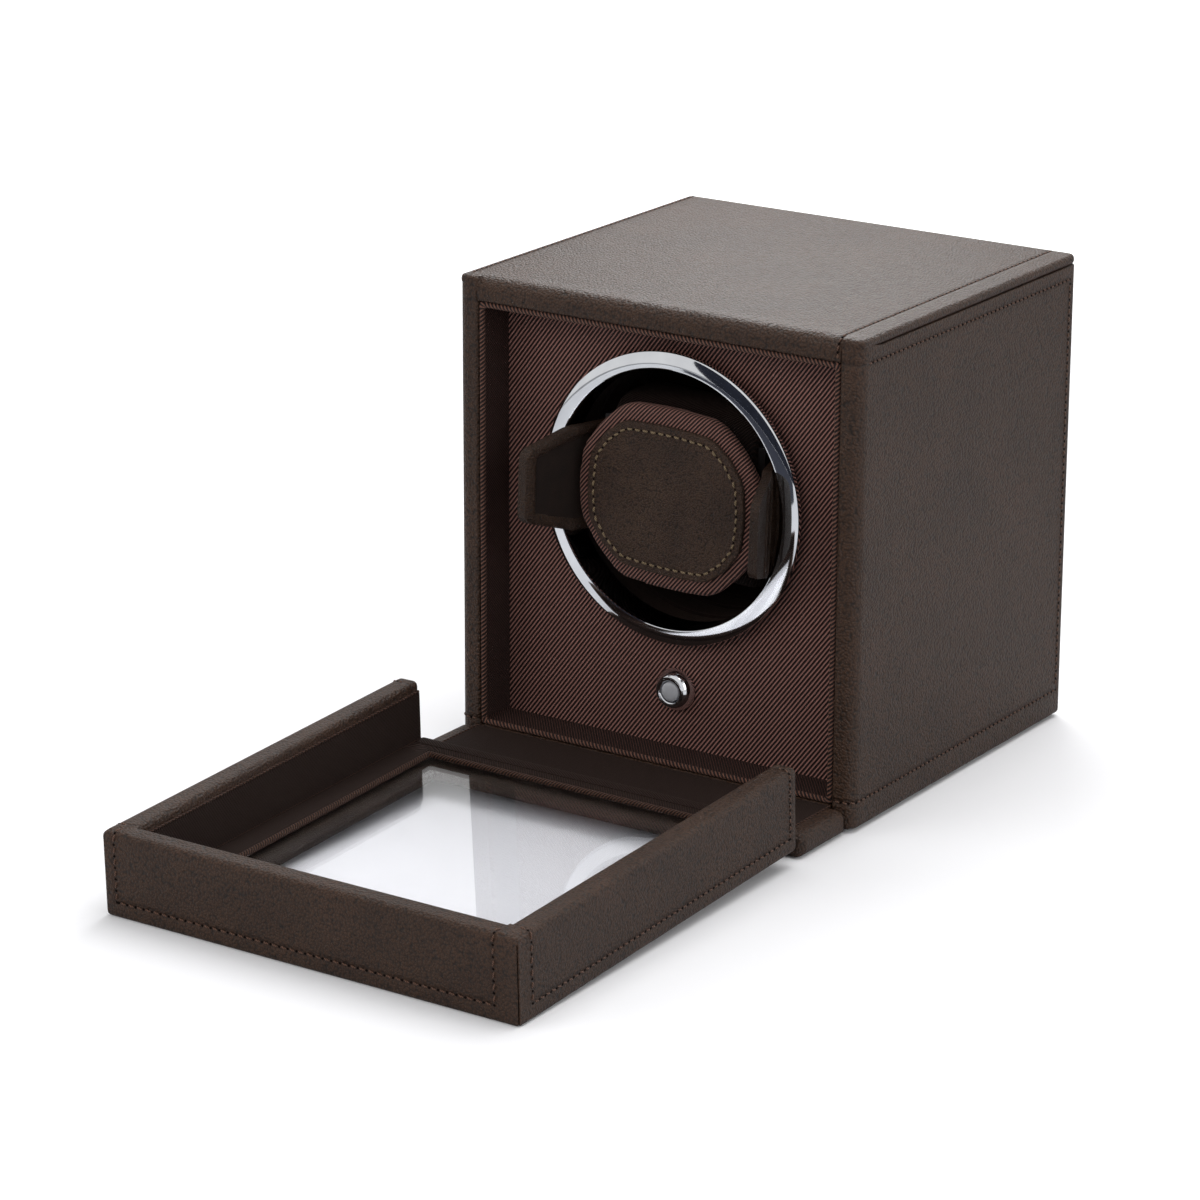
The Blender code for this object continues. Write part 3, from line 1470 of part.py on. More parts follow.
def build_spring(side, sign, cuff):
    """The torsion spring round the pin: one unbroken wire in even turns."""
    coil = PIN_RADIUS + RUNNING + SPRING_WIRE + GAP
    span = SPRING_SPAN - 2 * SPRING_WIRE - 2 * GAP
    points_a_turn = 10
    count = SPRING_TURNS * points_a_turn
    points = []
    for i in range(count + 1):
        turn = i / points_a_turn * 2 * math.pi
        y = span * (i / count - 1 / 2)
        points.append((coil * math.cos(turn), y, coil * math.sin(turn)))
    print(f"spring {side}: gap between turns {span / SPRING_TURNS - 2 * SPRING_WIRE:.5f} m")
    spring = tube(f"tab_spring_{side}", points, SPRING_WIRE, STEEL, cuff, 1)
    spring.location = (sign * PIN_SIDE, 0.0, PIN_Z)


def build_winder():
    roof, rear = build_case()
    build_recess()
    works = pivot("drum_centre", (0.0, FRONT_Y, DRUM_Z), (math.pi / 2, 0.0, 0.0))
    build_ring(works)
    drum = pivot("drum_axis", (0.0, 0.0, 0.0), (0.0, 0.0, -DRUM_LEAN), works)
    build_drum(drum)
    build_mechanism(works)
    card_lead, lead_step = build_button(works)
    build_inlet(rear, works, card_lead, lead_step)
    build_hinge()
    build_lid(roof)
    build_cuff(drum)


build_winder()
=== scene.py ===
from math import asin, cos, pi, radians, sin

import bpy
import numpy as np
from mathutils import Matrix


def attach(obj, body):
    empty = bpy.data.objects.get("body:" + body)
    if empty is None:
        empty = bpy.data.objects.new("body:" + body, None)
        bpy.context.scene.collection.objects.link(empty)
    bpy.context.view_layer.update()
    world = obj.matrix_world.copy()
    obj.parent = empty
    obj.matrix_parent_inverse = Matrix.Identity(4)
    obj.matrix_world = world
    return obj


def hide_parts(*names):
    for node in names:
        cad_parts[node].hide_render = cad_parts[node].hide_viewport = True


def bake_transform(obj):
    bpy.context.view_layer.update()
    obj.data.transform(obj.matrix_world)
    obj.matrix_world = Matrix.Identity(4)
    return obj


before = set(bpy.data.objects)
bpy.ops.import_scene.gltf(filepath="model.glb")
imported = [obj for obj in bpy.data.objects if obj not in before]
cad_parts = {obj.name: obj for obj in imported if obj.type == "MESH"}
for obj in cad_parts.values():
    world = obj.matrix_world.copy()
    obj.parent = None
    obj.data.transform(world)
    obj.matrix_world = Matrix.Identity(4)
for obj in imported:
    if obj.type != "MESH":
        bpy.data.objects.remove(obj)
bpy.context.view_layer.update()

# Sizes of the case and its cover, in millimetres in the part's own frame.
FRONT, HALF, TOP = -65.35, 71.6, 152.0
HINGE_Y, HINGE_Z = FRONT - 27.0, 5.5
LID_LENGTH, LID_HIGH, LID_INNER = 146.5, 26.4, 64.1
TILT = asin(5.5 / (LID_LENGTH - 1.8))
AXIS_Z, LEAN = 90.2, radians(2)
POST = 64.2  # half the width between the side boards
RECESS_FLOOR, RECESS_HEIGHT = 9.8, 133.0

# Where the stitched seams run. The cover's are in its own frame.
ROOF_SEAMS = (-69.2, 63.3)
SIDE_SEAMS, SIDE_SEAM_BACK = (9.7, 144.6), 61.0
FAR_SEAMS = (67.3, -63.5)
COVER_SEAMS = (8.2, LID_LENGTH - 6.5)
SEAM_FOOT = 5.0


# ---- places and frames
def lid_place(p):
    """From the cover's frame (x to its left, y away from the hinge, z up off its outer face)."""
    c, s = cos(TILT), sin(TILT)
    x, y, z = np.moveaxis(p, -1, 0)
    return np.stack([-x, HINGE_Y - (y * c + z * s), HINGE_Z + (z * c - y * s)], -1)


def axis_place(p, lean=0.0):
    """From a frame on the drum's axis (x right, y up, z out of the case's front)."""
    c, s = cos(lean), sin(lean)
    x, y, z = np.moveaxis(p, -1, 0)
    return np.stack([x * c + y * s, FRONT - z, AXIS_Z - x * s + y * c], -1)


def cuff_place(p):
    """From the cuff's frame, which leans with the drum."""
    return axis_place(p, LEAN)


def from_cuff(p):
    """Back from the part's frame to the cuff's."""
    c, s = cos(LEAN), sin(LEAN)
    x, z = p[..., 0], p[..., 2] - AXIS_Z
    return np.stack([x * c - z * s, x * s + z * c, FRONT - p[..., 1]], -1)


def as_is(p):
    return p


def unit(v):
    """Vectors brought to length 1."""
    return v / np.linalg.norm(v, axis=-1, keepdims=True)


def running(points):
    """The running length along a line of points."""
    return np.concatenate([[0.0], np.cumsum(np.linalg.norm(np.diff(points, axis=0), axis=1))])


# ---- mesh makers
def mesh_object(name, points, faces, material, smooth, uv=None):
    """Puts points in millimetres and faces into a new mesh, with a texture map in millimetres."""
    mesh = bpy.data.meshes.new(name)
    mesh.from_pydata((np.asarray(points).reshape(-1, 3) * 0.001).tolist(), [], faces)
    if uv is not None:
        layer = mesh.uv_layers.new(name="cloth")
        layer.data.foreach_set("uv", np.asarray(uv, np.float32).ravel())
    mesh.materials.append(material)
    mesh.polygons.foreach_set("use_smooth", [smooth > 0] * len(mesh.polygons))
    mesh.update()
    obj = bpy.data.objects.new(name, mesh)
    bpy.context.scene.collection.objects.link(obj)
    if smooth > 0:
        mesh.set_sharp_from_angle(angle=radians(smooth))
    return obj


def belongs(obj, body, nodes=()):
    """Says which body a piece rides on and which solids it replaces."""
    if body:
        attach(obj, body)
    if nodes:
        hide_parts(*nodes)
    return obj


def quads(rows, columns, wrap_rows=False, wrap_columns=False):
    """Corner indices of a grid's faces as (row, column) pairs that aren't wrapped yet."""
    r = np.arange(rows if wrap_rows else rows - 1)
    c = np.arange(columns if wrap_columns else columns - 1)
    r, c = (v.ravel() for v in np.meshgrid(r, c, indexing="ij"))
    return np.stack([r, r, r + 1, r + 1], 1), np.stack([c, c + 1, c + 1, c], 1)


def map_of(points, wrap):
    """A texture map in millimetres that follows a grid's own lengths: along each direction, the
    running sum of the steps' median over the grid's lines."""
    closed = np.pad(points, [(0, int(wrap[0])), (0, int(wrap[1])), (0, 0)], mode="wrap")
    runs = []
    for axis in (1, 0):
        step = np.linalg.norm(np.diff(closed, axis=axis), axis=-1)
        runs.append(np.concatenate([[0.0], np.cumsum(np.median(step, axis=1 - axis))]))
    return np.stack(np.meshgrid(*runs, indexing="xy"), -1)


# Which of a grid's two directions is closed. A tube has flat caps, a sleeve has none.
FORMS = {"sheet": (False, False), "tube": (False, True), "sleeve": (False, True),
         "ring": (True, True)}


def surface(name, points, material, body, nodes=(), form="tube", flip=False,
            smooth=50, uv=None, mapped=False):
    """A grid of points as one surface."""
    rows, columns = points.shape[:2]
    r, c = quads(rows, columns, *FORMS[form])
    if flip:
        r, c = r[:, ::-1], c[:, ::-1]
    faces = (r % rows * columns + c % columns).tolist()
    if mapped:
        uv = map_of(points, FORMS[form])
    if uv is not None:
        uv = uv[r, c].reshape(-1, 2)
    if form == "tube":
        first = list(range(columns))
        last = [(rows - 1) * columns + i for i in range(columns)]
        faces += [first, last[::-1]] if flip else [first[::-1], last]
        if uv is not None:
            uv = np.concatenate([uv, np.zeros((2 * columns, 2))])
    return belongs(mesh_object(name, points, faces, material, smooth, uv), body, nodes)


def loop4(b0, b1, c0, c1, radii, arc=5, flat=10):
    """Rounded rectangles, one a station: quarter circles joined by evenly cut straight runs."""
    corners = []
    places = ((b1, c1, -1, -1), (b0, c1, 1, -1), (b0, c0, 1, 1), (b1, c0, -1, 1))
    for k, (b, c, sb, sc) in enumerate(places):
        r = np.maximum(radii[k] * np.ones_like(b0), 0.02)
        turn = (np.arange(arc + 1) / arc + k) * pi / 2
        across = (b + sb * r)[:, None] + r[:, None] * np.cos(turn)
        upward = (c + sc * r)[:, None] + r[:, None] * np.sin(turn)
        corners.append(np.stack([across, upward], -1))
    runs = []
    share = (np.arange(1, flat) / flat)[None, :, None]
    for k in range(4):
        last, following = corners[k][:, -1:], corners[(k + 1) % 4][:, :1]
        runs += [corners[k], last + (following - last) * share]
    return np.concatenate(runs, 1)


def board(low, high, along, radii, ends, middle=24, flat=10, mitre=(0.0, 0.0), outer=None, arc=5):
    """A board with rolled edges: a rounded rectangle carried along one axis, drawn in on quarter
    circles at both ends. At a mitred end each point steps back by its distance from the outer
    face."""
    b, c = [i for i in range(3) if i != along]
    q = np.linspace(0, pi / 2, 7)
    start, end = low[along], high[along]
    place = np.concatenate([start + ends[0] * (1 - np.cos(q)),
                            np.linspace(start + ends[0], end - ends[1], middle + 2)[1:-1],
                            end - ends[1] * (1 - np.cos(q[::-1]))])
    drawn = np.concatenate([ends[0] * (1 - np.sin(q)), np.zeros(middle),
                            ends[1] * (1 - np.sin(q[::-1]))])
    loop = loop4(low[b] + drawn, high[b] - drawn, low[c] + drawn, high[c] - drawn,
                 [r - drawn for r in radii], arc, flat)
    points = np.empty((*loop.shape[:2], 3))
    points[..., b], points[..., c] = loop[..., 0], loop[..., 1]
    points[..., along] = place[:, None]
    if any(mitre):
        side, at = outer
        share = ((place - start) / (end - start))[:, None]
        back = np.abs(points[..., side] - at)
        points[..., along] += back * (mitre[0] * (1 - share) - mitre[1] * share)
    return points


def revolve(profile, steps):
    """A profile of (radius, depth) points carried round the drum's axis."""
    turn = np.arange(steps) / steps * 2 * pi
    radius, depth = np.asarray(profile, float).T[..., None]
    x, y = radius * np.cos(turn), radius * np.sin(turn)
    return np.stack([x, y, depth * np.ones_like(x)], -1)


def window_loop(b0, b1, c0, c1, radius, cut):
    """A window: a rounded rectangle and its outward directions."""
    one = np.ones(1)
    loop = loop4(b0 * one, b1 * one, c0 * one, c1 * one, [radius] * 4, 5, cut)[0]
    square = loop4(-one, one, -one, one, [1e-3] * 4, 5, cut)[0]
    return loop, np.where(np.abs(square) > 0.985, np.sign(square), 0.0)


def frame_surface(window, profile):
    """A profile of (distance outwards, height) carried round a window with mitred corners."""
    loop, sign = window
    profile = np.asarray(profile, float)
    flat = loop[None] + profile[:, None, :1] * sign[None]
    height = np.broadcast_to(profile[:, None, 1:], (*flat.shape[:2], 1))
    return np.concatenate([flat, height], -1)


def piping(name, window, out, height, radius, place, body, cloth):
    """A corded edge round a window: a circle carried round it with mitred corners. Its map runs
    along the edge and round the cord, so that the twill's ribs wrap it on a slant."""
    turn = np.arange(12) / 12 * 2 * pi
    ring = np.stack([out + radius * np.cos(turn), height + radius * np.sin(turn)], 1)
    surface(name, place(frame_surface(window, ring)), cloth, body, (), "ring", True, 75,
            mapped=True)


def bead(name, path, radius, place, body):
    """A thin corded line along an open level path, its corners mitred: at each point the circle
    lies across the mean of the two directions, stretched sideways by the mitre."""
    path, up = np.asarray(path, float), np.array([0, 0, 1.0])
    step = unit(np.diff(path, axis=0))
    after = np.concatenate([step, step[-1:]])
    mean = unit(np.concatenate([step[:1], step]) + after)
    side = np.cross(up, mean) / np.sum(mean * after, 1)[:, None]
    turn = (np.arange(8) / 8 * 2 * pi)[:, None]
    points = path[:, None] + radius * (np.cos(turn) * side[:, None] + np.sin(turn) * up)
    surface(name, place(points), EDGE_TWILL, body, (), smooth=75, mapped=True)


def cloth_panel(name, corner, across, upward, thick, roll, body, place=as_is):
    """A lining: a sheet whose height is thick times the product of two terms, each 1 in the
    middle of the panel and falling on a quarter circle within roll of an edge."""
    corner, across, upward = (np.asarray(v, float) for v in (corner, across, upward))
    wide, high = np.linalg.norm(across), np.linalg.norm(upward)
    normal = np.cross(across, upward) / (wide * high)

    def spaced(length, count):
        edge = roll * (1 - np.cos(np.linspace(0, pi / 2, 6)[:-1]))
        return np.concatenate([edge, np.linspace(roll, length - roll, count),
                               length - edge[::-1]])

    def rise(at, length):
        near = np.clip(np.minimum(at, length - at) / roll, 0, 1)
        return np.sqrt(1 - (1 - near) ** 2)

    u, v = spaced(wide, 60), spaced(high, 20)
    height = thick * rise(u, wide)[:, None] * rise(v, high)[None]
    points = (corner + u[:, None, None] * across / wide + v[None, :, None] * upward / high
              + height[..., None] * normal)
    surface(name, place(points), LINING_TWILL, body, (), "sheet", True, 70,
            uv=np.stack(np.meshgrid(u, v, indexing="ij"), -1))


def thread(points, normals, pitch, length, radius, rise, skew=0.0, phase=0.5):
    """Stitches along a path. Each is a thread on an arc, high in its middle and sunk at its
    ends, whose radius shrinks with the fourth power of the distance from its middle."""
    points, normals = np.asarray(points, float), np.asarray(normals, float)
    run = running(points)
    count = max(1, int(run[-1] // pitch))
    at = (np.arange(count) + phase) * run[-1] / count

    def along(values, shift=0.0):
        return np.stack([np.interp(at + shift, run, v) for v in values.T], -1)

    normal = unit(along(normals))
    tangent = unit(along(points, 0.2) - along(points, -0.2))
    side = np.cross(tangent, normal)
    c, s = cos(skew), sin(skew)
    tangent, side = tangent * c + side * s, side * c - tangent * s
    u = np.linspace(-1, 1, 7)[:, None, None]
    turn = (np.arange(6) / 6 * 2 * pi)[:, None]
    thick = radius * np.sqrt(np.maximum(1 - u ** 4, 0.02))
    centre, t, n, s = (v[:, None, None] for v in (along(points), tangent, normal, side))
    return (centre + t * u * length / 2 + n * (rise * (1 - u ** 2) - radius)
            + thick * (np.cos(turn) * s + np.sin(turn) * n))


def stitches(name, runs, material, body):
    """All of a body's stitches as one mesh. Each stitch is a closed tube of 6 sides."""
    solid = np.concatenate(runs)
    count, rows, columns = solid.shape[:3]
    start = np.arange(count)[:, None] * rows * columns
    r, c = quads(rows, columns, False, True)
    faces = ((r * columns + c % columns)[None] + start[..., None]).reshape(-1, 4).tolist()
    faces += (start + np.arange(columns)[::-1]).tolist()
    faces += (start + (rows - 1) * columns + np.arange(columns)).tolist()
    return belongs(mesh_object(name, solid, faces, material, 80), body, ())


# ---- material makers
def linear(code):
    """A colour written as sRGB hex, turned to linear values."""
    parts = [int(code[i:i + 2], 16) / 255 for i in (1, 3, 5)]
    return (*[v / 12.92 if v <= 0.04045 else ((v + 0.055) / 1.055) ** 2.4 for v in parts], 1.0)


class Value:
    """A node's output. Each sum or product with it adds a Math node."""

    def __init__(self, look, socket):
        self.look, self.socket = look, socket

    def math(self, operation, *others, clamp=False):
        return self.look.add("Math", enumerate((self, *others)), operation=operation,
                             use_clamp=clamp)

    def __add__(self, other):
        return self.math("ADD", other)

    def __sub__(self, other):
        return self.math("SUBTRACT", other)

    def __mul__(self, other):
        return self.math("MULTIPLY", other)

    def __truediv__(self, other):
        return self.math("DIVIDE", other)


class Look:
    """A material's or world's node tree. Values are set straight on the sockets."""

    def __init__(self, owner, shader="Principled BSDF", **values):
        owner.use_nodes = True
        self.owner, self.tree = owner, owner.node_tree
        self.shader = self.tree.nodes[shader]
        self.wear(**values)

    def put(self, socket, value):
        """Gives a socket a value, or links it to a node's output."""
        if isinstance(value, Value):
            self.tree.links.new(value.socket, socket)
        else:
            socket.default_value = value

    def wear(self, **values):
        """Sets or links the shader's own inputs."""
        for key, value in values.items():
            self.put(self.shader.inputs[key.replace("_", " ")], value)

    def add(self, kind, inputs=(), output=0, **settings):
        """Adds a node with its settings and inputs, and gives one of its outputs."""
        node = self.tree.nodes.new("ShaderNode" + kind)
        for key, value in settings.items():
            setattr(node, key, value)
        for key, value in dict(inputs).items():
            self.put(node.inputs[key], value)
        return Value(self, node.outputs[output])

    def less(self, first, second):
        """The first less the second, held between 0 and 1."""
        return self.add("Math", {0: first, 1: second}, operation="SUBTRACT", use_clamp=True)

    def ramp(self, value, *stops):
        """A colour ramp through (place, hex colour) stops."""
        colour = self.add("ValToRGB", {"Fac": value})
        elements = colour.socket.node.color_ramp.elements
        while len(elements) < len(stops):
            elements.new(0.5)
        for element, (place, tone) in zip(elements, stops):
            element.position, element.color = place, linear(tone)
        return colour

    def mix(self, factor, first, second, blend="MIX"):
        return self.add("Mix", {0: factor, 6: first, 7: second}, 2, data_type="RGBA",
                        blend_type=blend)

    def mapping(self, vector, scale, turn=(0, 0, 0), move=(0, 0, 0)):
        return self.add("Mapping", {"Vector": vector, "Rotation": turn, "Location": move,
                                    "Scale": scale})

    def place(self, turn=(0, 0, 0), move=(0, 0, 0)):
        """Object coordinates in millimetres."""
        return self.mapping(self.add("TexCoord", output="Object"), (1000, 1000, 1000), turn, move)

    def axes(self, vector):
        node = self.add("SeparateXYZ", {0: vector}).socket.node
        return [Value(self, socket) for socket in node.outputs]

    def noise(self, place, scale, detail=3.0, rough=0.5, output="Fac"):
        return self.add("TexNoise", {"Vector": place, "Scale": scale, "Detail": detail,
                                     "Roughness": rough}, output)

    def relief(self, height, millimetres):
        """Relief of the given depth, in real millimetres, on the shader."""
        self.wear(Normal=self.add("Bump", {"Height": height, "Strength": 1.0,
                                           "Distance": millimetres * 0.001}))

    def show(self, shader):
        self.put(self.tree.nodes["Material Output"].inputs["Surface"], shader)

    def plainly_seen(self):
        """1 for what the camera sees, by itself or through glass, else 0. With the light path."""
        path = {socket.name: Value(self, socket)
                for socket in self.add("LightPath").socket.node.outputs}
        direct = self.less(path["Is Transmission Ray"], path["Diffuse Depth"])
        return path["Is Camera Ray"].math("MAXIMUM", direct), path


def finish(name, **values):
    return Look(bpy.data.materials.new(name), **values)


def seam_groove(look, axes, low, high, turn=0.0, move=(0, 0, 0)):
    """How deep a stitched seam is pressed in, from 0 to 1. The seam runs round a rectangle in
    the plane of two object axes, after a turn about X, in millimetres."""
    parts = look.axes(look.place((turn, 0, 0), move))
    edges = [(parts[axis] - (lo + hi) / 2).math("ABSOLUTE") - (hi - lo) / 2
             for axis, lo, hi in zip(axes, low, high)]
    away = edges[0].math("MAXIMUM", edges[1]).math("ABSOLUTE")
    # the leather is drawn down within 1.4 mm of the thread
    return look.less(1.0, away / 1.4)


def front_creases(look):
    """Short slanting creases where the roof's leather is pulled over its front edge."""
    lines = look.noise(look.mapping(look.place((0, 0, 0.5)), (0.5, 0.09, 0.09)), 1.0, 3.0, 0.6)
    depth = look.axes(look.place())[1] - (FRONT + 9.0)
    return lines * depth.math("DIVIDE", -7.0, clamp=True) * 2.2


def leather(name, tones, rough=0.5, seam=None, grain=1.0, creased=False):
    """Chrome-tanned calf with a printed pebble grain, lightly polished: fine raised pebbles with
    dark creases between them, which catch a soft wide highlight."""
    look = finish(name, IOR=1.45, Specular_IOR_Level=0.36)
    place = look.place()
    bent = look.mix(0.35, place, look.noise(place, 0.9, 2.0, output="Color"), "ADD")
    # pebbles of about 0.75 mm, with pores of 0.3 mm over them
    pebbles = look.add("TexVoronoi", {"Vector": bent, "Scale": 1.35 / grain, "Smoothness": 0.6},
                       "Distance", feature="SMOOTH_F1")
    pores, patches = look.noise(place, 3.2, 3.0, 0.6), look.noise(place, 0.05, 2.0)
    creases = look.noise(place, 0.35, 4.0, 0.65)
    height = pores * 0.35 - pebbles * 0.9 + creases * 0.2
    colour = look.ramp(patches * 0.72 + creases * 0.28, *zip((0.3, 0.5, 0.72), tones))
    colour = look.mix(look.less(pebbles, 0.3) * 1.7, colour, linear("#1a130f"))
    if seam:
        press = seam_groove(look, *seam)
        height -= press * 1.1
        # painted shade: the colour is darkened along the middle of the pressed seam groove
        colour = look.mix(press.math("POWER", 4.0) * 0.55, colour, linear("#120c0a"))
    if creased:
        height += front_creases(look)
    look.wear(Base_Color=colour, Roughness=creases * 0.22 + (rough - 0.11))
    look.relief(height, 0.56)
    return look.owner


def twill(name, light, dark, spacing=1.12, angle=52.5, rough=0.72, planar=False, sheen=0.12,
          gloss=0.5):
    """Woven polyester twill: raised slanting ribs of twisted yarn with dark valleys between them,
    and a soft silky sheen along each rib."""
    look = finish(name, Sheen_Weight=sheen, Sheen_Roughness=0.4, Sheen_Tint=linear("#c8a79c"),
                  IOR=1.4, Specular_IOR_Level=gloss, Roughness=rough)
    if planar:
        # the fascia faces the front, so its map is its own x and z
        x, _, z = look.axes(look.place())
        place = look.add("CombineXYZ", {0: x, 1: z})
    else:
        place = look.add("TexCoord", output="UV")
    x, y, _ = look.axes(look.mapping(place, (1, 1, 1), (0, 0, radians(90 - angle))))
    across = x / spacing + look.noise(place, 0.25, 2.0) * 0.16
    # twisted yarns of 0.55 mm cross each rib on a slant
    twist = y / 0.55 + across * 0.7
    rib, yarn = ((v * (2 * pi)).math("COSINE") * 0.5 + 0.5 for v in (across, twist))
    fuzz = look.noise(place, 2.2, 3.0, 0.7)
    height = rib + yarn * rib * 0.35
    look.wear(Base_Color=look.ramp(height * 0.62 + fuzz * 0.22, (0.15, dark), (0.45, dark),
                                   (0.74, light), (0.95, light)))
    look.relief(height + fuzz * 0.3, 0.3)
    return look.owner


def hard(name, colours, rough, metal=0.0, grain=0.5, depth=0.01, **more):
    """A hard finish with slight cloudiness in its colour and gloss and a fine surface texture."""
    look = finish(name, Metallic=metal, **more)
    place = look.place()
    cloud, fine = look.noise(place, 0.12, 2.0), look.noise(place, 1.0 / grain, 3.0, 0.6)
    look.wear(Base_Color=look.ramp(cloud, *zip((0.35, 0.65), colours)),
              Roughness=fine * (rough * 0.5) + rough * 0.75)
    look.relief(fine, depth)
    return look.owner


def spun_thread(name, light, dark):
    """Waxed polyester thread: two plies that show as fine slanting bands with a little gloss."""
    look = finish(name, Roughness=0.55, IOR=1.45)
    bands = look.add("TexWave", {"Vector": look.place(), "Scale": 0.9, "Distortion": 1.5,
                                 "Detail": 1.0}, "Fac", bands_direction="DIAGONAL")
    look.wear(Base_Color=look.ramp(bands, (0.2, dark), (0.8, light)))
    look.relief(bands, 0.05)
    return look.owner


def suede(name, tones, sheen=0.3):
    """Split leather with its nap brushed up: matt, soft, darker where the nap lies down."""
    look = finish(name, Roughness=0.95, Sheen_Weight=sheen, IOR=1.4, Sheen_Roughness=0.6,
                  Sheen_Tint=linear("#8a6f63"))
    place = look.place()
    nap, fibres = look.noise(place, 0.22, 3.0), look.noise(place, 5.0, 3.0, 0.7)
    look.wear(Base_Color=look.ramp(nap * 0.6 + fibres * 0.4, *zip((0.3, 0.7), tones)))
    look.relief(fibres, 0.12)
    return look.owner


def window_glass(name):
    """Float glass 2 mm thick: clear, faintly grey, mirror-like at a low angle."""
    look = finish(name, Roughness=0.0, IOR=1.52, Transmission_Weight=1.0)
    tint = look.noise(look.place(), 0.01)
    look.wear(Base_Color=look.ramp(tint, (0.3, "#f4f4f5"), (0.7, "#f6f6f7")))
    clear = look.add("BsdfTransparent", {"Color": linear("#e4e5e9")})
    shadow = look.add("LightPath", output="Is Shadow Ray")
    look.show(look.add("MixShader", {0: shadow, 1: Value(look, look.shader.outputs[0]), 2: clear}))
    return look.owner


# ---- this object's finishes
BROWN = ("#36241a", "#3d2a1e", "#442f23")
OFF = 400.0  # where a seam's rectangle has a side that lies off the piece
LID_TURN = (-TILT, (0.0, -cos(TILT) * HINGE_Y - sin(TILT) * HINGE_Z,
                    sin(TILT) * HINGE_Y - cos(TILT) * HINGE_Z))
CASE_LEATHER = leather("pebbled_calf_leather", BROWN)
TOP_LEATHER = leather("pebbled_calf_leather_top", BROWN, creased=True,
                      seam=((0, 1), (ROOF_SEAMS[0], -OFF), (ROOF_SEAMS[1], OFF)))
SIDE_LEATHER = leather("pebbled_calf_leather_sides", BROWN, seam=(
    (1, 2), (-OFF, SIDE_SEAMS[0]), (SIDE_SEAM_BACK, SIDE_SEAMS[1])))
FAR_LEATHER = leather("pebbled_calf_leather_cover_far", BROWN, seam=(
    (0, 2), (-FAR_SEAMS[0], SEAM_FOOT), (-FAR_SEAMS[1], OFF), *LID_TURN))
COVER_LEATHER = leather("pebbled_calf_leather_cover", BROWN, seam=(
    (1, 2), (-COVER_SEAMS[1], SEAM_FOOT), (-COVER_SEAMS[0], OFF), *LID_TURN))
PATCH_LEATHER = leather("smooth_calf_leather_patch", ("#33251d", "#3e2d23", "#48362a"), 0.55,
                        grain=0.7)
TAB_LEATHER = leather("smooth_calf_leather_tabs", ("#24170f", "#312015", "#3f2c1f"), grain=0.7)
FRAME_LEATHER = leather("smooth_calf_leather_frame", ("#2b2118", "#352920", "#3e3127"),
                        grain=0.5)
FASCIA_TWILL = twill("ribbed_twill_fascia", "#956a61", "#180a08", planar=True)
# painted shade: the recess walls wear the fascia's ribbed twill made much darker, for the shade
# inside the recess
SHADED_WALL_TWILL = twill("ribbed_twill_liner_painted_shade", "#3f2620", "#0d0504", 0.8, gloss=0.3, sheen=0.08)
PIPING_TWILL = twill("ribbed_twill_piping", "#6e4c3f", "#170b09", 1.1, 55.0)
EDGE_TWILL = twill("fine_twill_piping", "#4b3226", "#1a0f0b", 0.9, 55.0, gloss=0.3)
PAD_TWILL = twill("ribbed_twill_cuff", "#875f55", "#190c0a", 1.0, 50.0)
LINING_TWILL = twill("fine_lining_twill", "#2a1b15", "#130a07", 0.7, rough=0.8, gloss=0.25,
                     sheen=0.06)
CORE_CLOTH = twill("core_cloth", "#1c120f", "#0a0605", 0.9, rough=0.85, sheen=0.04, gloss=0.2)
CHROME = hard("polished_chrome_plate", ("#e4e6ea", "#eef0f3"), 0.05, 1.0, 1.0, 0.0005)
STEEL = hard("bright_steel", ("#a9aaac", "#b9babc"), 0.3, 1.0, 0.2, 0.004)
BRASS = hard("turned_brass", ("#b8954f", "#c9a862"), 0.32, 1.0, 0.2, 0.004)
NICKEL = hard("nickel_plate", ("#b4b2ad", "#c6c4bf"), 0.22, 1.0, 0.4, 0.003)
BLACK_ABS = hard("moulded_black_abs", ("#0e0c0c", "#151212"), 0.42, 0.0, 0.25, 0.02)
ACETAL = hard("moulded_white_acetal", ("#dcdad3", "#e6e4de"), 0.4, 0.0, 0.3)
CARD = hard("green_circuit_card", ("#0b3d20", "#12502b"), 0.35, 0.0, 0.6, 0.02)
SLEEVE = hard("black_pvc_sleeve", ("#0c0c0d", "#131314"), 0.5, 0.0, 0.3)
FLOCK = suede("brown_flock_lining", ("#0a0504", "#160c08"), 0.1)
FELT = suede("black_wool_felt", ("#0c0a09", "#1a1614"))
TAB_SUEDE = suede("brown_suede", ("#0b0503", "#190e09"), 0.15)
GLASS = window_glass("clear_float_glass")
CLEAR = hard("clear_acrylic", ("#d6d7dc", "#e2e3e8"), 0.1, 0.0, 1.0, 0.002, IOR=1.49,
             Transmission_Weight=0.55)
LAMP = hard("diffusing_lamp_epoxy", ("#d5dbe6", "#e6ebf2"), 0.25, 0.0, 0.5, 0.004, IOR=1.5,
            Transmission_Weight=0.35)
THREAD = spun_thread("brown_polyester_thread", "#694a3a", "#2b1b13")
TAN_THREAD = spun_thread("tan_polyester_thread", "#8d7a5e", "#4d3f2e")
# painted shade: each stitch hole is a short near-black tube laid on the leather, dark as the shade
# in a punched hole
STITCH_HOLE_SHADE = hard("stitch_hole_painted_shade", ("#080403", "#0f0806"), 0.95, 0.0, 0.3,
               Specular_IOR_Level=0.1)

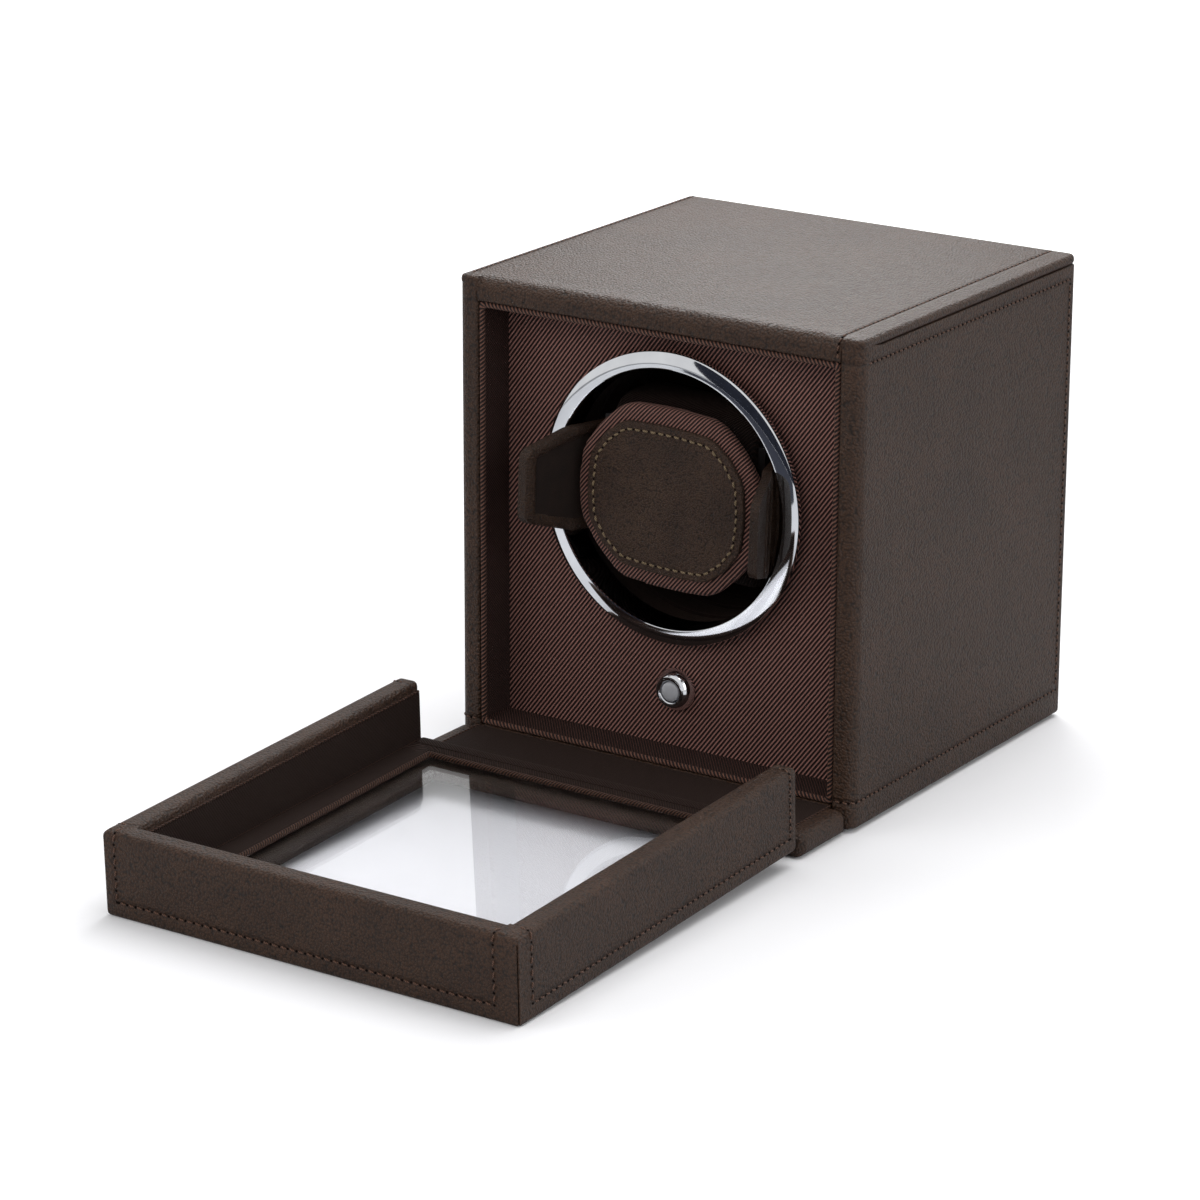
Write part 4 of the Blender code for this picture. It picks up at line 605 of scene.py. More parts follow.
NODE_FINISHES = {
    CASE_LEATHER: ("base_panel", "rear_panel"),
    FASCIA_TWILL: ("fascia_panel",),
    BLACK_ABS: ("mechanism_frame", "cuff_socket", "switch_body", "power_inlet", "cuff_foot",
                "cuff_cheek_left", "cuff_cheek_right"),
    ACETAL: ("drum_gear", "card_spacer_left", "card_spacer_right"),
    STEEL: ("drum_shaft", "shaft_clip", "gear_motor", "motor_screw_1", "motor_screw_2",
            "motor_shaft", "tab_pin_left", "tab_pin_right", "tab_spring_left", "tab_spring_right"),
    BRASS: ("shaft_bush", "motor_pinion", "bezel_nut", "inlet_nut"),
    CARD: ("control_card",),
    SLEEVE: ("motor_lead", "inlet_lead"),
    NICKEL: ("case_magnet_left", "case_magnet_right", "lid_magnet_left", "lid_magnet_right"),
    GLASS: ("lid_glass",),
    LAMP: ("indicator_lamp",),
}
for material, nodes in NODE_FINISHES.items():
    for node in nodes:
        for node_slot in bpy.data.objects[node].material_slots:
            node_slot.material = material


# ---- case
def build_top():
    """The roof's leather: one skin over a slab that overhangs both sides by a thick rolled edge,
    and over the front strip between the corner posts, with a wide roll along the front.

    Towards each side it closes on a half circle in height and on a quarter circle in plan.
    """
    thick, plan, edge_roll, front_roll = 1.45, 3.0, 1.4, 4.4
    slab, strip, post = 148.9, SIDE_SEAMS[1], 64.55
    q = np.sin(np.linspace(0, pi / 2, 12))
    half = np.concatenate([HALF - plan * (1 - q[::-1]), [post, POST], np.linspace(60, 0, 24)])
    place = np.concatenate([-half, half[-2::-1]])
    away = HALF - np.abs(place)
    drawn, corner = (r - np.sqrt(np.maximum(r ** 2 - np.maximum(r - away, 0) ** 2, 0))
                     for r in (thick, plan))
    inner = np.clip((post - np.abs(place)) / 0.35, 0, 1)
    radii = (edge_roll, edge_roll + (front_roll - edge_roll) * inner,
             np.where(inner > 0, 0.7, edge_roll), np.where(inner > 0, 0.5, edge_roll))
    loop = loop4(FRONT + corner, -FRONT - corner, slab + (strip - slab) * inner + drawn,
                 TOP - drawn, [r - drawn for r in radii], 8, 24)
    across = np.broadcast_to(place[:, None, None], (*loop.shape[:2], 1))
    surface("roof_leather", np.concatenate([across, loop], -1), TOP_LEATHER, "case",
            ("top_panel",), flip=True)


def build_sides():
    """The side boards' leather, rolled round the front corner posts."""
    for side, sign in (("left", -1), ("right", 1)):
        points = board((POST, FRONT, 1.2), (HALF, -FRONT, 148.8), 2, [2.6, 0.6, 1.0, 3.6],
                       (1.4, 0.35), 30, 16)
        points[..., 0] *= sign
        # at the post the skin runs on up into the roof's edge
        front = np.clip((FRONT + 7.0 - points[..., 1]) / 2.5, 0, 1)
        points[..., 2] += 1.45 * front * np.clip((points[..., 2] - 140.0) / 8.8, 0, 1)
        surface(f"side_leather_{side}", points, SIDE_LEATHER, "case", (f"side_panel_{side}",),
                flip=sign < 0)


def build_recess():
    """The recess's twill: four walls in one turn, rolled over the liner's front lip."""
    half, lip = 62.4, 0.75
    window = window_loop(-half, half, RECESS_FLOOR, RECESS_FLOOR + RECESS_HEIGHT, 1.0, 40)

    def upright(p):
        return np.stack([p[..., 0], FRONT + p[..., 2], p[..., 1]], -1)

    profile = [(0.05, 13.9), (-0.12, 9.8), (-0.15, 5.8), (-0.02, 2.6)]
    profile += [(lip - lip * cos(a), 1.7 - lip * sin(a)) for a in np.linspace(0, pi, 9)]
    profile.append((1.5, 3.8))
    # the walls' darker twill is painted shade
    surface("recess_twill", upright(frame_surface(window, profile)), SHADED_WALL_TWILL, "case",
            ("recess_liner",), "sleeve", smooth=75, mapped=True)
    piping("recess_piping", window, 0.72, 1.0, 0.88, upright, "case", PIPING_TWILL)


def build_ring():
    """The chrome ring: a pressed and polished flange. Inside its fine raised lip the face is
    nearly level, then its slope grows from 3 to 28 degrees towards the outer edge."""
    bore, width, crown = 40.6, 5.3, -7.7
    share = [(0.0, 0.9), (0.015, 0.42), (0.045, 0.1), (0.085, 0.0), (0.2, 0.032), (0.35, 0.13),
             (0.5, 0.27), (0.65, 0.454), (0.78, 0.652), (0.9, 0.896), (0.97, 1.093), (1.0, 1.35)]
    face = [(bore + x * width, crown - z) for x, z in share]
    # behind its edge the flange is hollow, and only its collar reaches the fascia
    profile = [(bore, -18.2), (bore, -12.0), *face, (45.5, -10.9), (43.0, -11.3), (41.9, -12.2),
               (41.9, -18.2)]
    surface("ring_chrome", axis_place(revolve(profile, 256)), CHROME, "case", ("chrome_ring",),
            "ring", True, 28)


def build_drum():
    """The drum's moulded wall, with its three shallow inner ribs."""
    bore, floor, centre, front = 42.4, -61.8, 3.2, -18.8
    inside = [(centre, floor), (bore, floor)]
    for rib in (3, 2, 1):
        middle = front - rib * 10.75
        inside += [(bore, middle - 1.2), (bore - 0.7, middle - 0.6), (bore - 0.7, middle + 0.6),
                   (bore, middle + 1.2)]
    profile = [(44.2, front), (44.2, floor - 2.5), (centre, floor - 2.5), *inside, (bore, front)]
    surface("drum_wall", axis_place(revolve(profile, 128)), FLOCK, "drum", ("drum_cup",),
            "ring", smooth=30)


def build_button():
    """The button: a dished chrome bezel and a clear domed cap over its lamp, a little above the
    middle of the strip of twill under the ring."""
    strip = 34.6
    bezel = [(3.4, -22.7), (3.4, -10.6), (3.5, -10.2), (3.75, -9.95), (4.3, -9.82), (4.8, -9.9),
             (5.2, -10.25), (5.9, -11.4), (6.35, -12.3), (6.62, -12.9), (6.75, -13.4),
             (6.75, -14.0), (5.0, -14.0), (5.0, -22.7)]
    dome = [(3.1 * sin(a), cos(a) - 10.4) for a in np.linspace(0, pi / 2, 9)[1:]]
    cap = [(0.01, -9.4), *dome, (3.1, -23.1), (4.2, -23.1), (4.2, -24.1), (3.1, -24.1),
           (3.1, -28.3), (1.9, -28.3), (1.9, -20.0), (0.01, -20.0)]
    for name, profile, steps, look, body, node, slot, form in (
            ("button_ring_chrome", bezel, 96, CHROME, "case", "button_bezel", "chrome", "ring"),
            ("button_clear_cap", cap, 64, CLEAR, "button", "button_cap", "clear_plastic", "tube")):
        points = revolve(profile, steps)
        points[..., 1] += RECESS_FLOOR + 0.535 * strip - AXIS_Z
        surface(name, axis_place(points), look, body, (node,), form, True, 30)


def build_hinge_board():
    """The board in front of the case: leather over its rounded ends and edges, twill on top
    between two thin corded lines."""
    points = board((-70.1, -91.25, 0.3), (70.1, -65.65, 8.0), 0, [2.6, 3.2, 1.2, 0.8],
                   (3.0, 3.0), 24, 8, arc=6)
    surface("hinge_board_leather", points, CASE_LEATHER, "case", ("hinge_board",),
            flip=True)
    inside = 64.1
    cloth_panel("hinge_board_twill", (-inside, -90.4, 7.8), (2 * inside, 0, 0), (0, 24.6, 0),
                0.45, 1.2, "case")
    for side, x in (("left", -inside), ("right", inside)):
        bead(f"hinge_board_bead_{side}", [(x, y, 8.0) for y in (-90.2, -78.0, -66.2)], 0.4,
             as_is, "case")


def skin(half, count, line, thick):
    """A strip of even thickness: a line of points carried along the hinge, with its upper side
    the line itself and its lower side the line moved by the thickness across its direction."""
    line = np.asarray(line, float)
    ahead = unit(np.gradient(line, axis=0))
    under = line - thick * np.stack([-ahead[:, 1], ahead[:, 0]], 1)
    around = np.concatenate([line, under[::-1]])
    points = np.empty((count, len(around), 3))
    points[..., 0] = np.linspace(-half, half, count)[:, None]
    points[..., 1:] = around
    return points


def build_hinge():
    """The cloth that bridges the board and the cover inside, and the leather outside it. Both
    bend where the cover turns. Under the case lies its felt foot."""
    def on_lid(*places):
        return [tuple(lid_place(np.array([0.0, *p]))[1:]) for p in places]

    knots = np.array([(-86.4, 8.42), (-88.5, 8.42), (-90.3, 8.4), (-91.4, 8.7), (-92.7, 9.9),
                      (-94.0, 11.5), *on_lid((2.9, 7.35), (4.2, 7.85), (6.0, 7.86), (8.2, 7.8))])
    step = running(knots)
    at = np.linspace(0, step[-1], 28)
    line = np.stack([np.interp(at, step, knots[:, i]) for i in range(2)], 1)
    for _ in range(3):
        line[1:-1] = (line[:-2] + 2 * line[1:-1] + line[2:]) / 4
    obj = surface("hinge_cloth", skin(63.4, 60, line, -0.25), LINING_TWILL, None, (),
                  flip=True, smooth=75, mapped=True)
    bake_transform(obj)
    bend = [(-92.0, 1.2), (-92.0, 2.4), (-92.02, 3.6), (-92.1, 4.6), (-92.3, 5.25)]
    bend += on_lid(*[(y, 0.42) for y in (0.45, 1.0, 1.8, 2.6, 3.3)])
    obj = surface("hinge_leather", skin(64.0, 40, bend, -0.75), CASE_LEATHER, None,
                  ("lid_hinge_leather", "hinge_apron"), flip=True, smooth=75)
    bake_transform(obj)
    felt = board((-68.1, -61.85, 0.0), (68.1, 61.85, 0.9), 0, [0.3] * 4, (0.3, 0.3), 12, 12, arc=2)
    obj = surface("foot_felt", felt, FELT, "case", ("base_felt",), flip=True, smooth=60)


# ---- cover
def build_cover():
    """The cover's walls, mitred at the far corners and rolled at every edge, with their twill
    linings, the leather frame outside the glass and the twill frame inside it."""
    end, inside, mitre = LID_LENGTH - 7.5, LID_INNER, 0.05
    rolls = [2.0, 1.8, 0.4, 1.5]
    points = board((mitre - HALF, end, 0.0), (HALF - mitre, LID_LENGTH, LID_HIGH), 0, rolls,
                   (0.8, 0.8), mitre=(1.0, 1.0), outer=(1, LID_LENGTH))
    surface("cover_far_leather", lid_place(points), FAR_LEATHER, "lid", ("lid_wall_top",),
            flip=True)
    for side, sign in (("left", 1), ("right", -1)):
        points = board((inside, 3.6, 0.0), (HALF, LID_LENGTH - mitre, LID_HIGH), 1, rolls,
                       (2.4, 0.8), mitre=(0.0, 1.0), outer=(0, HALF))
        points[..., 0] *= sign
        surface(f"cover_side_leather_{side}", lid_place(points), COVER_LEATHER, "lid",
                (f"lid_wall_{side}",), flip=sign > 0)
    floor, rim = 7.4, 22.8
    for side, corner, across in (
            ("far", (0.3 - inside, end, floor), (2 * (inside - 0.3), 0, 0)),
            ("left", (inside, end - 0.3, floor), (0, 4.7 - end, 0)),
            ("right", (-inside, 4.4, floor), (0, end - 4.7, 0))):
        cloth_panel(f"cover_lining_{side}", corner, across, (0, 0, rim - floor), 0.5, 0.7, "lid",
                    lid_place)
    x, y = inside - 0.12, end - 0.12
    for name, height, radius in (("cover_rim_bead", rim + 0.25, 0.4),
                                 ("cover_foot_bead", floor + 0.45, 0.42)):
        path = [(x, 4.8, height), (x, y, height), (-x, y, height), (-x, 4.8, height)]
        bead(name, path, radius, lid_place, "lid")
    window = window_loop(-54.2, 54.2, 13.2, 129.1, 0.8, 30)
    profile = [(0.95, 5.6), (1.0, 6.9), (1.6, 7.4), (2.4, 7.55), (5.0, 7.55), (9.3, 7.5),
               (9.8, 7.4), (9.8, 5.6)]
    surface("cover_floor_twill", lid_place(frame_surface(window, profile)), LINING_TWILL, "lid",
            ("lid_twill_frame",), "ring", smooth=75, mapped=True)
    piping("cover_floor_piping", window, 0.95, 6.7, 0.95, lid_place, "lid", EDGE_TWILL)
    window = window_loop(-48.5, 48.5, 19.2, 123.1, 0.9, 30)
    profile = [(1.2, 3.0), (0.5, 2.8), (0.1, 2.3), (0.0, 1.6), (0.1, 0.8), (0.5, 0.25), (1.2, 0.0),
               (8.0, 0.0), (15.0, 0.0), (15.3, 0.2), (15.3, 3.0)]
    surface("cover_face_leather", lid_place(frame_surface(window, profile)), FRAME_LEATHER,
            "lid", ("lid_frame",), "ring", True, 60)
    for side, sign in (("left", 1), ("right", -1)):
        surface(f"cover_corner_fold_{side}", lid_place(corner_fold(sign)), CASE_LEATHER, "lid",
                (), "sheet", sign < 0, 80)


def corner_fold(sign):
    """The leather folded over a far corner. From each outer face it falls away on the same
    quarter circle as the rim, and its lift over the rim is the product of two even powers'
    complements, waved round the corner where the leather is gathered."""
    share, middle, half, radius = np.linspace(-1, 1, 25), 3.95, 3.7, 2.0
    u, v = np.meshgrid(share, share, indexing="ij")
    x, y = HALF - middle + half * u, LID_LENGTH - middle + half * v

    def drop(away):
        return radius - np.sqrt(radius ** 2 - np.clip(radius - away, 0, radius) ** 2)

    folds = np.cos(10.0 * np.arctan2(v + 1.2, u + 1.2))
    lift = (1 - u ** 4) * (1 - v ** 4) * (0.34 + 0.16 * folds)
    z = LID_HIGH - 0.22 - drop(HALF - x) - drop(LID_LENGTH - y) + lift
    return np.stack([sign * x, y, z], -1)


# ---- cuff
def cuff_outline(width, height, corner=(0.53, 0.4), reach=5.6, cut=8, straight=6):
    """The eight-sided outline with soft corners, as points and outward normals.

    Each corner of the octagon is cut back by reach along both its sides and joined by a
    quadratic curve with the corner as its middle point; the sides between bow out a little.
    """
    a, b = corner
    right = [(a, 1), (1, b), (1, -b), (a, -1)]
    knots = np.array(right + [(-x, -y) for x, y in right]) * (width / 2, height / 2)

    def cut_back(shift):
        way = np.roll(knots, shift, 0) - knots
        size = np.linalg.norm(way, axis=1, keepdims=True)
        return knots + way / size * np.minimum(reach, size * 0.45)

    start, end = cut_back(1), cut_back(-1)
    t = (np.arange(cut) / cut)[:, None]
    curve = ((1 - t) ** 2 * start[:, None] + 2 * t * (1 - t) * knots[:, None]
             + t ** 2 * end[:, None])
    following = np.roll(start, -1, 0)
    t = (np.arange(straight) / straight)[:, None]
    side = end[:, None] + (following - end)[:, None] * t
    side += 0.5 * (4 * t * (1 - t)) * unit(end + following)[:, None]
    points = np.concatenate([curve, side], 1).reshape(-1, 2)[::-1]
    tangent = unit(np.roll(points, -1, 0) - np.roll(points, 1, 0))
    return points, np.stack([tangent[:, 1], -tangent[:, 0]], -1)


def pad_points(width, height, back, front, crown, roll, drawn, **shape):
    """A padded plate: a crowned face, a rolled edge, sides drawn in at mid height, a flat back.

    The face's height is the front less crown times the squared share of the way to the edge.
    """
    outline, normal = cuff_outline(width, height, **shape)
    face, edge = outline - normal * roll, front - crown
    rows = [(face * k, front - crown * k ** 2) for k in (0.02, 0.15, 0.3, 0.45, 0.6, 0.72, 0.82,
                                                         0.9)]
    rows += [(outline - normal * (roll * (1 - sin(a))), edge - roll * (1 - cos(a)))
             for a in np.linspace(0, pi / 2, 7)]
    thick = edge - roll - back
    rows += [(outline - normal * (drawn * sin(pi * min(t, 0.9))),
              edge - roll - thick * t) for t in (0.3, 0.6, 0.85, 1.0)]
    rows.append((outline * 0.9, back))
    return np.stack([np.column_stack([flat, np.full(len(flat), level)]) for flat, level in rows])


def coordinates(mesh):
    """A mesh's points, in metres."""
    flat = np.empty(len(mesh.vertices) * 3)
    mesh.vertices.foreach_get("co", flat)
    return flat.reshape(-1, 3)


def swell(obj, voxel, cap, held):
    """A padded piece blown up by a cloth simulation: the closed form is remeshed evenly, pressed
    outwards for 20 frames with no gravity, and each point then moves by m * cap / (m + cap),
    where m is how far the simulation took it. Points where held is true stay in place."""
    scene, frames = bpy.context.scene, 20
    remesh = obj.modifiers.new("even_mesh", "REMESH")
    remesh.mode, remesh.voxel_size = "VOXEL", voxel * 0.001
    even = bpy.data.meshes.new_from_object(obj.evaluated_get(bpy.context.evaluated_depsgraph_get()))
    obj.modifiers.remove(remesh)
    obj.data = even
    rest = coordinates(even)
    group = obj.vertex_groups.new(name="held")
    group.add(np.flatnonzero(held(from_cuff(rest * 1000.0))).tolist(), 1.0, "REPLACE")
    cloth = obj.modifiers.new("stuffing", "CLOTH")
    cloth.settings.vertex_group_mass = "held"
    cloth.settings.use_pressure = True
    cloth.settings.uniform_pressure_force = 4.0
    cloth.settings.effector_weights.gravity = 0.0
    cloth.point_cache.frame_start, cloth.point_cache.frame_end = 1, frames
    for number in range(1, frames + 1):
        scene.frame_set(number)
    blown = obj.evaluated_get(bpy.context.evaluated_depsgraph_get()).to_mesh()
    step = coordinates(blown) - rest
    obj.modifiers.remove(cloth)
    scene.frame_set(1)
    size = np.linalg.norm(step, axis=1, keepdims=True)
    step *= cap * 0.001 / (size + cap * 0.001)
    even.vertices.foreach_set("co", (rest + step).ravel())
    even.polygons.foreach_set("use_smooth", [True] * len(even.polygons))
    obj.vertex_groups.clear()
    finer = obj.modifiers.new("finer", "SUBSURF")
    finer.levels = finer.render_levels = 1


def lay_cloth(obj, map_at):
    """Gives a swollen piece its texture map, worked out from where each point is."""
    mesh = obj.data
    corner = np.empty(len(mesh.loops), dtype=np.int64)
    mesh.loops.foreach_get("vertex_index", corner)
    layer = mesh.uv_layers.get("cloth") or mesh.uv_layers.new(name="cloth")
    flat = map_at(from_cuff(coordinates(mesh) * 1000.0))
    layer.data.foreach_set("uv", flat[corner].ravel())


def pad_map(p):
    """The pad's cloth: flat over the face, and past the rolled edge it runs on down the side."""
    flat = p[:, :2]
    drop = np.maximum(-9.3 - p[:, 2:], 0)
    return flat + flat / np.maximum(np.linalg.norm(flat, axis=1, keepdims=True), 1.0) * drop


def core_map(p):
    """The core's cloth: along it, and round it by the angle at its middle."""
    return np.stack([p[:, 0], np.arctan2(p[:, 1], p[:, 2] + 29.7) * 22.0], 1)


def build_cuff():
    """The cuff's twill-covered pad, its stitched leather patch and its cloth-covered core."""
    pad = pad_points(64.8, 56.4, -12.4, -7.4, 0.3, 1.9, 0.2)
    obj = surface("cuff_pad_twill", cuff_place(pad), PAD_TWILL, "cuff", ("cuff_pad",),
                  smooth=70)
    swell(obj, 1.15, 0.55, lambda p: np.abs(p[:, 2] + 9.9) > 2.45)
    lay_cloth(obj, pad_map)
    shape = dict(corner=(0.59, 0.48), reach=4.6)
    patch = pad_points(55.4, 46.0, -7.35, -6.0, 0.1, 0.7, 0.0, **shape)
    sheet = surface("cuff_patch_leather", cuff_place(patch), PATCH_LEATHER, "cuff",
                    ("cuff_patch",), smooth=60)
    outline, normal = cuff_outline(55.4, 46.0, **shape)
    line = outline - normal * 2.5
    line = np.concatenate([line, line[:1]])
    path = cuff_place(np.column_stack([line, np.full(len(line), -6.02)]))
    up = np.broadcast_to(cuff_place(np.array([0, 0, 1.0])) - cuff_place(np.zeros(3)), path.shape)
    sewn = stitches("cuff_patch_stitches", [thread(path, up, 2.75, 2.1, 0.36, 0.5, 0.14)],
                    TAN_THREAD, "cuff")
    # the holes are near-black dots of painted shade
    holes = stitches("cuff_patch_hole_shade", [thread(path, up, 2.75, 0.9, 0.4, 0.12, 0, 0.0)],
                     STITCH_HOLE_SHADE, "cuff")
    core = board((-26.0, -27.0, -46.5), (26.0, 27.0, -13.0), 0, [12.0] * 4, (1.6, 1.6), 30, 8,
                 arc=10)
    obj = surface("cuff_core_cloth", cuff_place(core), CORE_CLOTH, "cuff", ("cuff_core",),
                  flip=True, smooth=70)
    swell(obj, 2.0, 0.6, lambda p: np.abs(p[:, 0]) > 25.0)
    lay_cloth(obj, core_map)


def tab_points(sign, offset, reach_in=0.0, rows=150, columns=48, grip=0.0, roll=0.0):
    """A squeeze tab's skin at a distance outside its inner face.

    Up the tab its radius follows the drum and then flares on a straight slope; its arc across
    flattens out of the drum; the front corners are cut on quarter circles. The rolled rim is
    half an ellipse of 3.6 mm by roll along the tip and both sides.
    """
    inner, tip_z, root_z, reach, flare, cut = 34.3, 9.3, -34.4, 17.0, 6.0, 2.6
    length = tip_z - root_z - reach_in
    v = 1 - (1 - np.linspace(0, 1, rows)) ** 1.5
    u = np.sin(np.linspace(-1, 1, columns) * pi / 2)
    z = (v * length)[:, None] * np.ones(columns)
    away = tip_z - root_z - z
    beyond = np.clip(1 - away / reach, 0, 1)
    arc = np.clip((away - 15.0) / 13.0, 0, 1)
    corner = np.clip(1 - (length - z) / cut, 0, 1)
    height = 33.3 - 10.7 * beyond - 2 * cut * (1 - np.sqrt(1 - corner ** 2)) - 2 * reach_in
    y = u * height / 2
    x = inner + flare * beyond + arc * (np.sqrt(inner ** 2 - y ** 2) - inner) + offset
    ridge = sum(np.clip(1 - ((away - at) / 0.6) ** 2, 0, 1) for at in (10.8, 15.8, 20.8))
    x += grip * ridge * np.clip((1 - np.abs(u)) * 8, 0, 1) ** 0.5
    near = np.minimum(length - z, height / 2 - np.abs(y))
    x -= roll * np.sqrt(np.clip(1 - ((near - 1.8) / 1.8) ** 2, 0, 1))
    return np.stack([sign * x, y, z + root_z], -1)


def build_tabs():
    """The squeeze tabs: leather outside with grip ribs, a thick rolled rim, suede inside."""
    for side, sign in (("left", -1), ("right", 1)):
        inner, outer = tab_points(sign, 0.0, roll=0.85), tab_points(sign, 2.6, grip=0.6)
        rows, columns = inner.shape[:2]
        size = rows * columns
        r, c = quads(rows, columns)
        grid = r * columns + c
        # the border, once round
        index = np.arange(size).reshape(rows, columns)
        a = np.concatenate([index[0], index[1:, -1], index[-1, -2::-1], index[-2:0:-1, 0]])
        b = a + size
        around = np.stack([a, np.roll(a, -1), np.roll(b, -1), b], 1)
        faces = np.concatenate([grid, (grid + size)[:, ::-1], around[:, ::-1]])
        points = cuff_place(np.concatenate([inner.reshape(-1, 3), outer.reshape(-1, 3)]))
        obj = mesh_object(f"tab_leather_{side}", points, faces[:, ::sign].tolist(), TAB_LEATHER,
                          60)
        bevel = obj.modifiers.new("rolled_rim", "BEVEL")
        bevel.width, bevel.segments = 0.001, 4
        bevel.limit_method, bevel.angle_limit = "ANGLE", radians(50)
        belongs(obj, f"tab_{side}", (f"squeeze_tab_{side}",))
        surface(f"tab_suede_{side}", cuff_place(tab_points(sign, -0.12, 2.4, 40, 24)), TAB_SUEDE,
                f"tab_{side}", (), "sheet", sign < 0, 70)


# ---- stitching
def row(start, end, out, count=40, then=(0, 0, 0), radius=0.0, arc=1, tail=()):
    """A straight run of points with one normal, a quarter circle on which the normal turns from
    out to then, and the tail's own points."""
    start, end, out, then = (np.array(v, float) for v in (start, end, out, then))
    t = np.linspace(0, pi / 2, arc)[1:, None]
    lean = out * np.cos(t) + then * np.sin(t)
    line = start + (end - start) * np.linspace(0, 1, count)[:, None]
    tail = np.reshape(tail, (-1, 3))
    return (np.concatenate([line, end + radius * (lean - out), tail]),
            np.concatenate([line * 0 + out, lean, tail * 0 + then]))


def sew(run, points, normals, pitch=2.5):
    """Stitches along a path, with a near-black dot of painted shade for the punched hole that each
    two of them share.
    """
    run[0].append(thread(points, normals, pitch, pitch - 0.7, 0.29, 0.36, 0.2))
    run[1].append(thread(points, normals, pitch, 1.05, 0.54, 0.24, 0.5, 0.0))


def case_stitching(run):
    roll, post, ahead, back = 4.2, 3.6, (0, -1, 0), SIDE_SEAM_BACK
    for x in ROOF_SEAMS:
        # the right-hand row runs on over the front roll and down the strip
        more = (ahead, roll, 8, [(x, FRONT, z) for z in np.linspace(147.6, 145.2, 4)])
        sew(run, *row((x, 63.5, TOP), (x, FRONT + roll, TOP), (0, 0, 1), 60,
                      *(more if x > 0 else ())))
    for sign in (-1, 1):
        x, out, (low, high) = sign * HALF, (sign, 0, 0), SIDE_SEAMS
        # the lower row runs on round the corner post
        for z, more in ((high, ()), (low, (ahead, post, 8, (sign * 65.0, FRONT, low)))):
            sew(run, *row((x, back, z), (x, FRONT + post, z), out, 50, *more))
        sew(run, *row((x, back, 143.2), (x, back, 11.0), out))


def cover_stitching(run):
    roll = 2.0

    def sew_cover(pitch, *path):
        points, normals = row(*path)
        sew(run, lid_place(points), lid_place(points + normals) - lid_place(points), pitch)

    def climb(x, y, out, last, pitch):
        """A row up a wall from its foot, over the rolled rim and a little way in."""
        sew_cover(pitch, (x, y, SEAM_FOOT), (x, y, LID_HIGH - roll), out, 40, (0, 0, 1), roll, 7,
                  (*last, LID_HIGH))

    for x in FAR_SEAMS:
        climb(x, LID_LENGTH, (0, 1, 0), (x - 0.6, LID_LENGTH - 4.2), 3.2)
    sew_cover(3.0, (66.6, LID_LENGTH, SEAM_FOOT), (-63.0, LID_LENGTH, SEAM_FOOT), (0, 1, 0))
    for out in (1, -1):
        x = out * HALF
        for y, pitch in zip(COVER_SEAMS[::-1], (3.2, 2.1)):
            climb(x, y, (out, 0, 0), (x - out * 4.6, y), pitch)
        sew_cover(2.7, (x, 8.8, SEAM_FOOT), (x, LID_LENGTH - 7.0, SEAM_FOOT), (out, 0, 0))


def build_stitching():
    for name, body, rows in (("case", "case", case_stitching), ("cover", "lid", cover_stitching)):
        run = [], []
        rows(run)
        stitches(f"{name}_stitches", run[0], THREAD, body)
        # the hole marks are near-black dots of painted shade
        stitches(f"{name}_stitch_hole_shade", run[1], STITCH_HOLE_SHADE, body)


# ---- studio
def linked(obj):
    bpy.context.scene.collection.objects.link(obj)
    return obj


def turned(side, up, back, place):
    matrix = Matrix(np.column_stack([side, up, back]).tolist()).to_4x4()
    matrix.translation = place
    return matrix


def lamp(name, place, target, size, power, mirrored=True):
    """A soft rectangular lamp that faces its target and isn't seen itself."""
    light = bpy.data.lights.new(name, "AREA")
    light.shape, light.energy = "RECTANGLE", power
    light.size, light.size_y = size
    back = unit(np.subtract(place, target))
    side = unit(np.cross((0, 0, 1.0), back))
    obj = linked(bpy.data.objects.new(name, light))
    obj.matrix_world = turned(side, np.cross(back, side), back, place)
    obj.visible_camera, obj.visible_glossy = False, mirrored


def build_camera():
    """The camera that was fitted to the photo's edges."""
    pixels, yaw, pitch, roll = 4484.8, *(radians(v) for v in (33.796, 18.105, 0.192))
    back = np.array([sin(yaw) * cos(pitch), -cos(yaw) * cos(pitch),
                     sin(pitch)])
    side = np.array([cos(yaw), sin(yaw), 0.0])
    up = np.cross(back, side)
    c, s = cos(roll), sin(roll)
    data = bpy.data.cameras.new("camera")
    data.sensor_fit, data.sensor_width = "HORIZONTAL", 36.0
    data.lens = data.sensor_width * pixels / 1200
    data.clip_start, data.clip_end = 0.05, 60.0
    camera = linked(bpy.data.objects.new("camera", data))
    camera.matrix_world = turned(c * side + s * up, c * up - s * side, back,
                                 (0.7038, -1.14525, 0.4821))
    bpy.context.scene.camera = camera


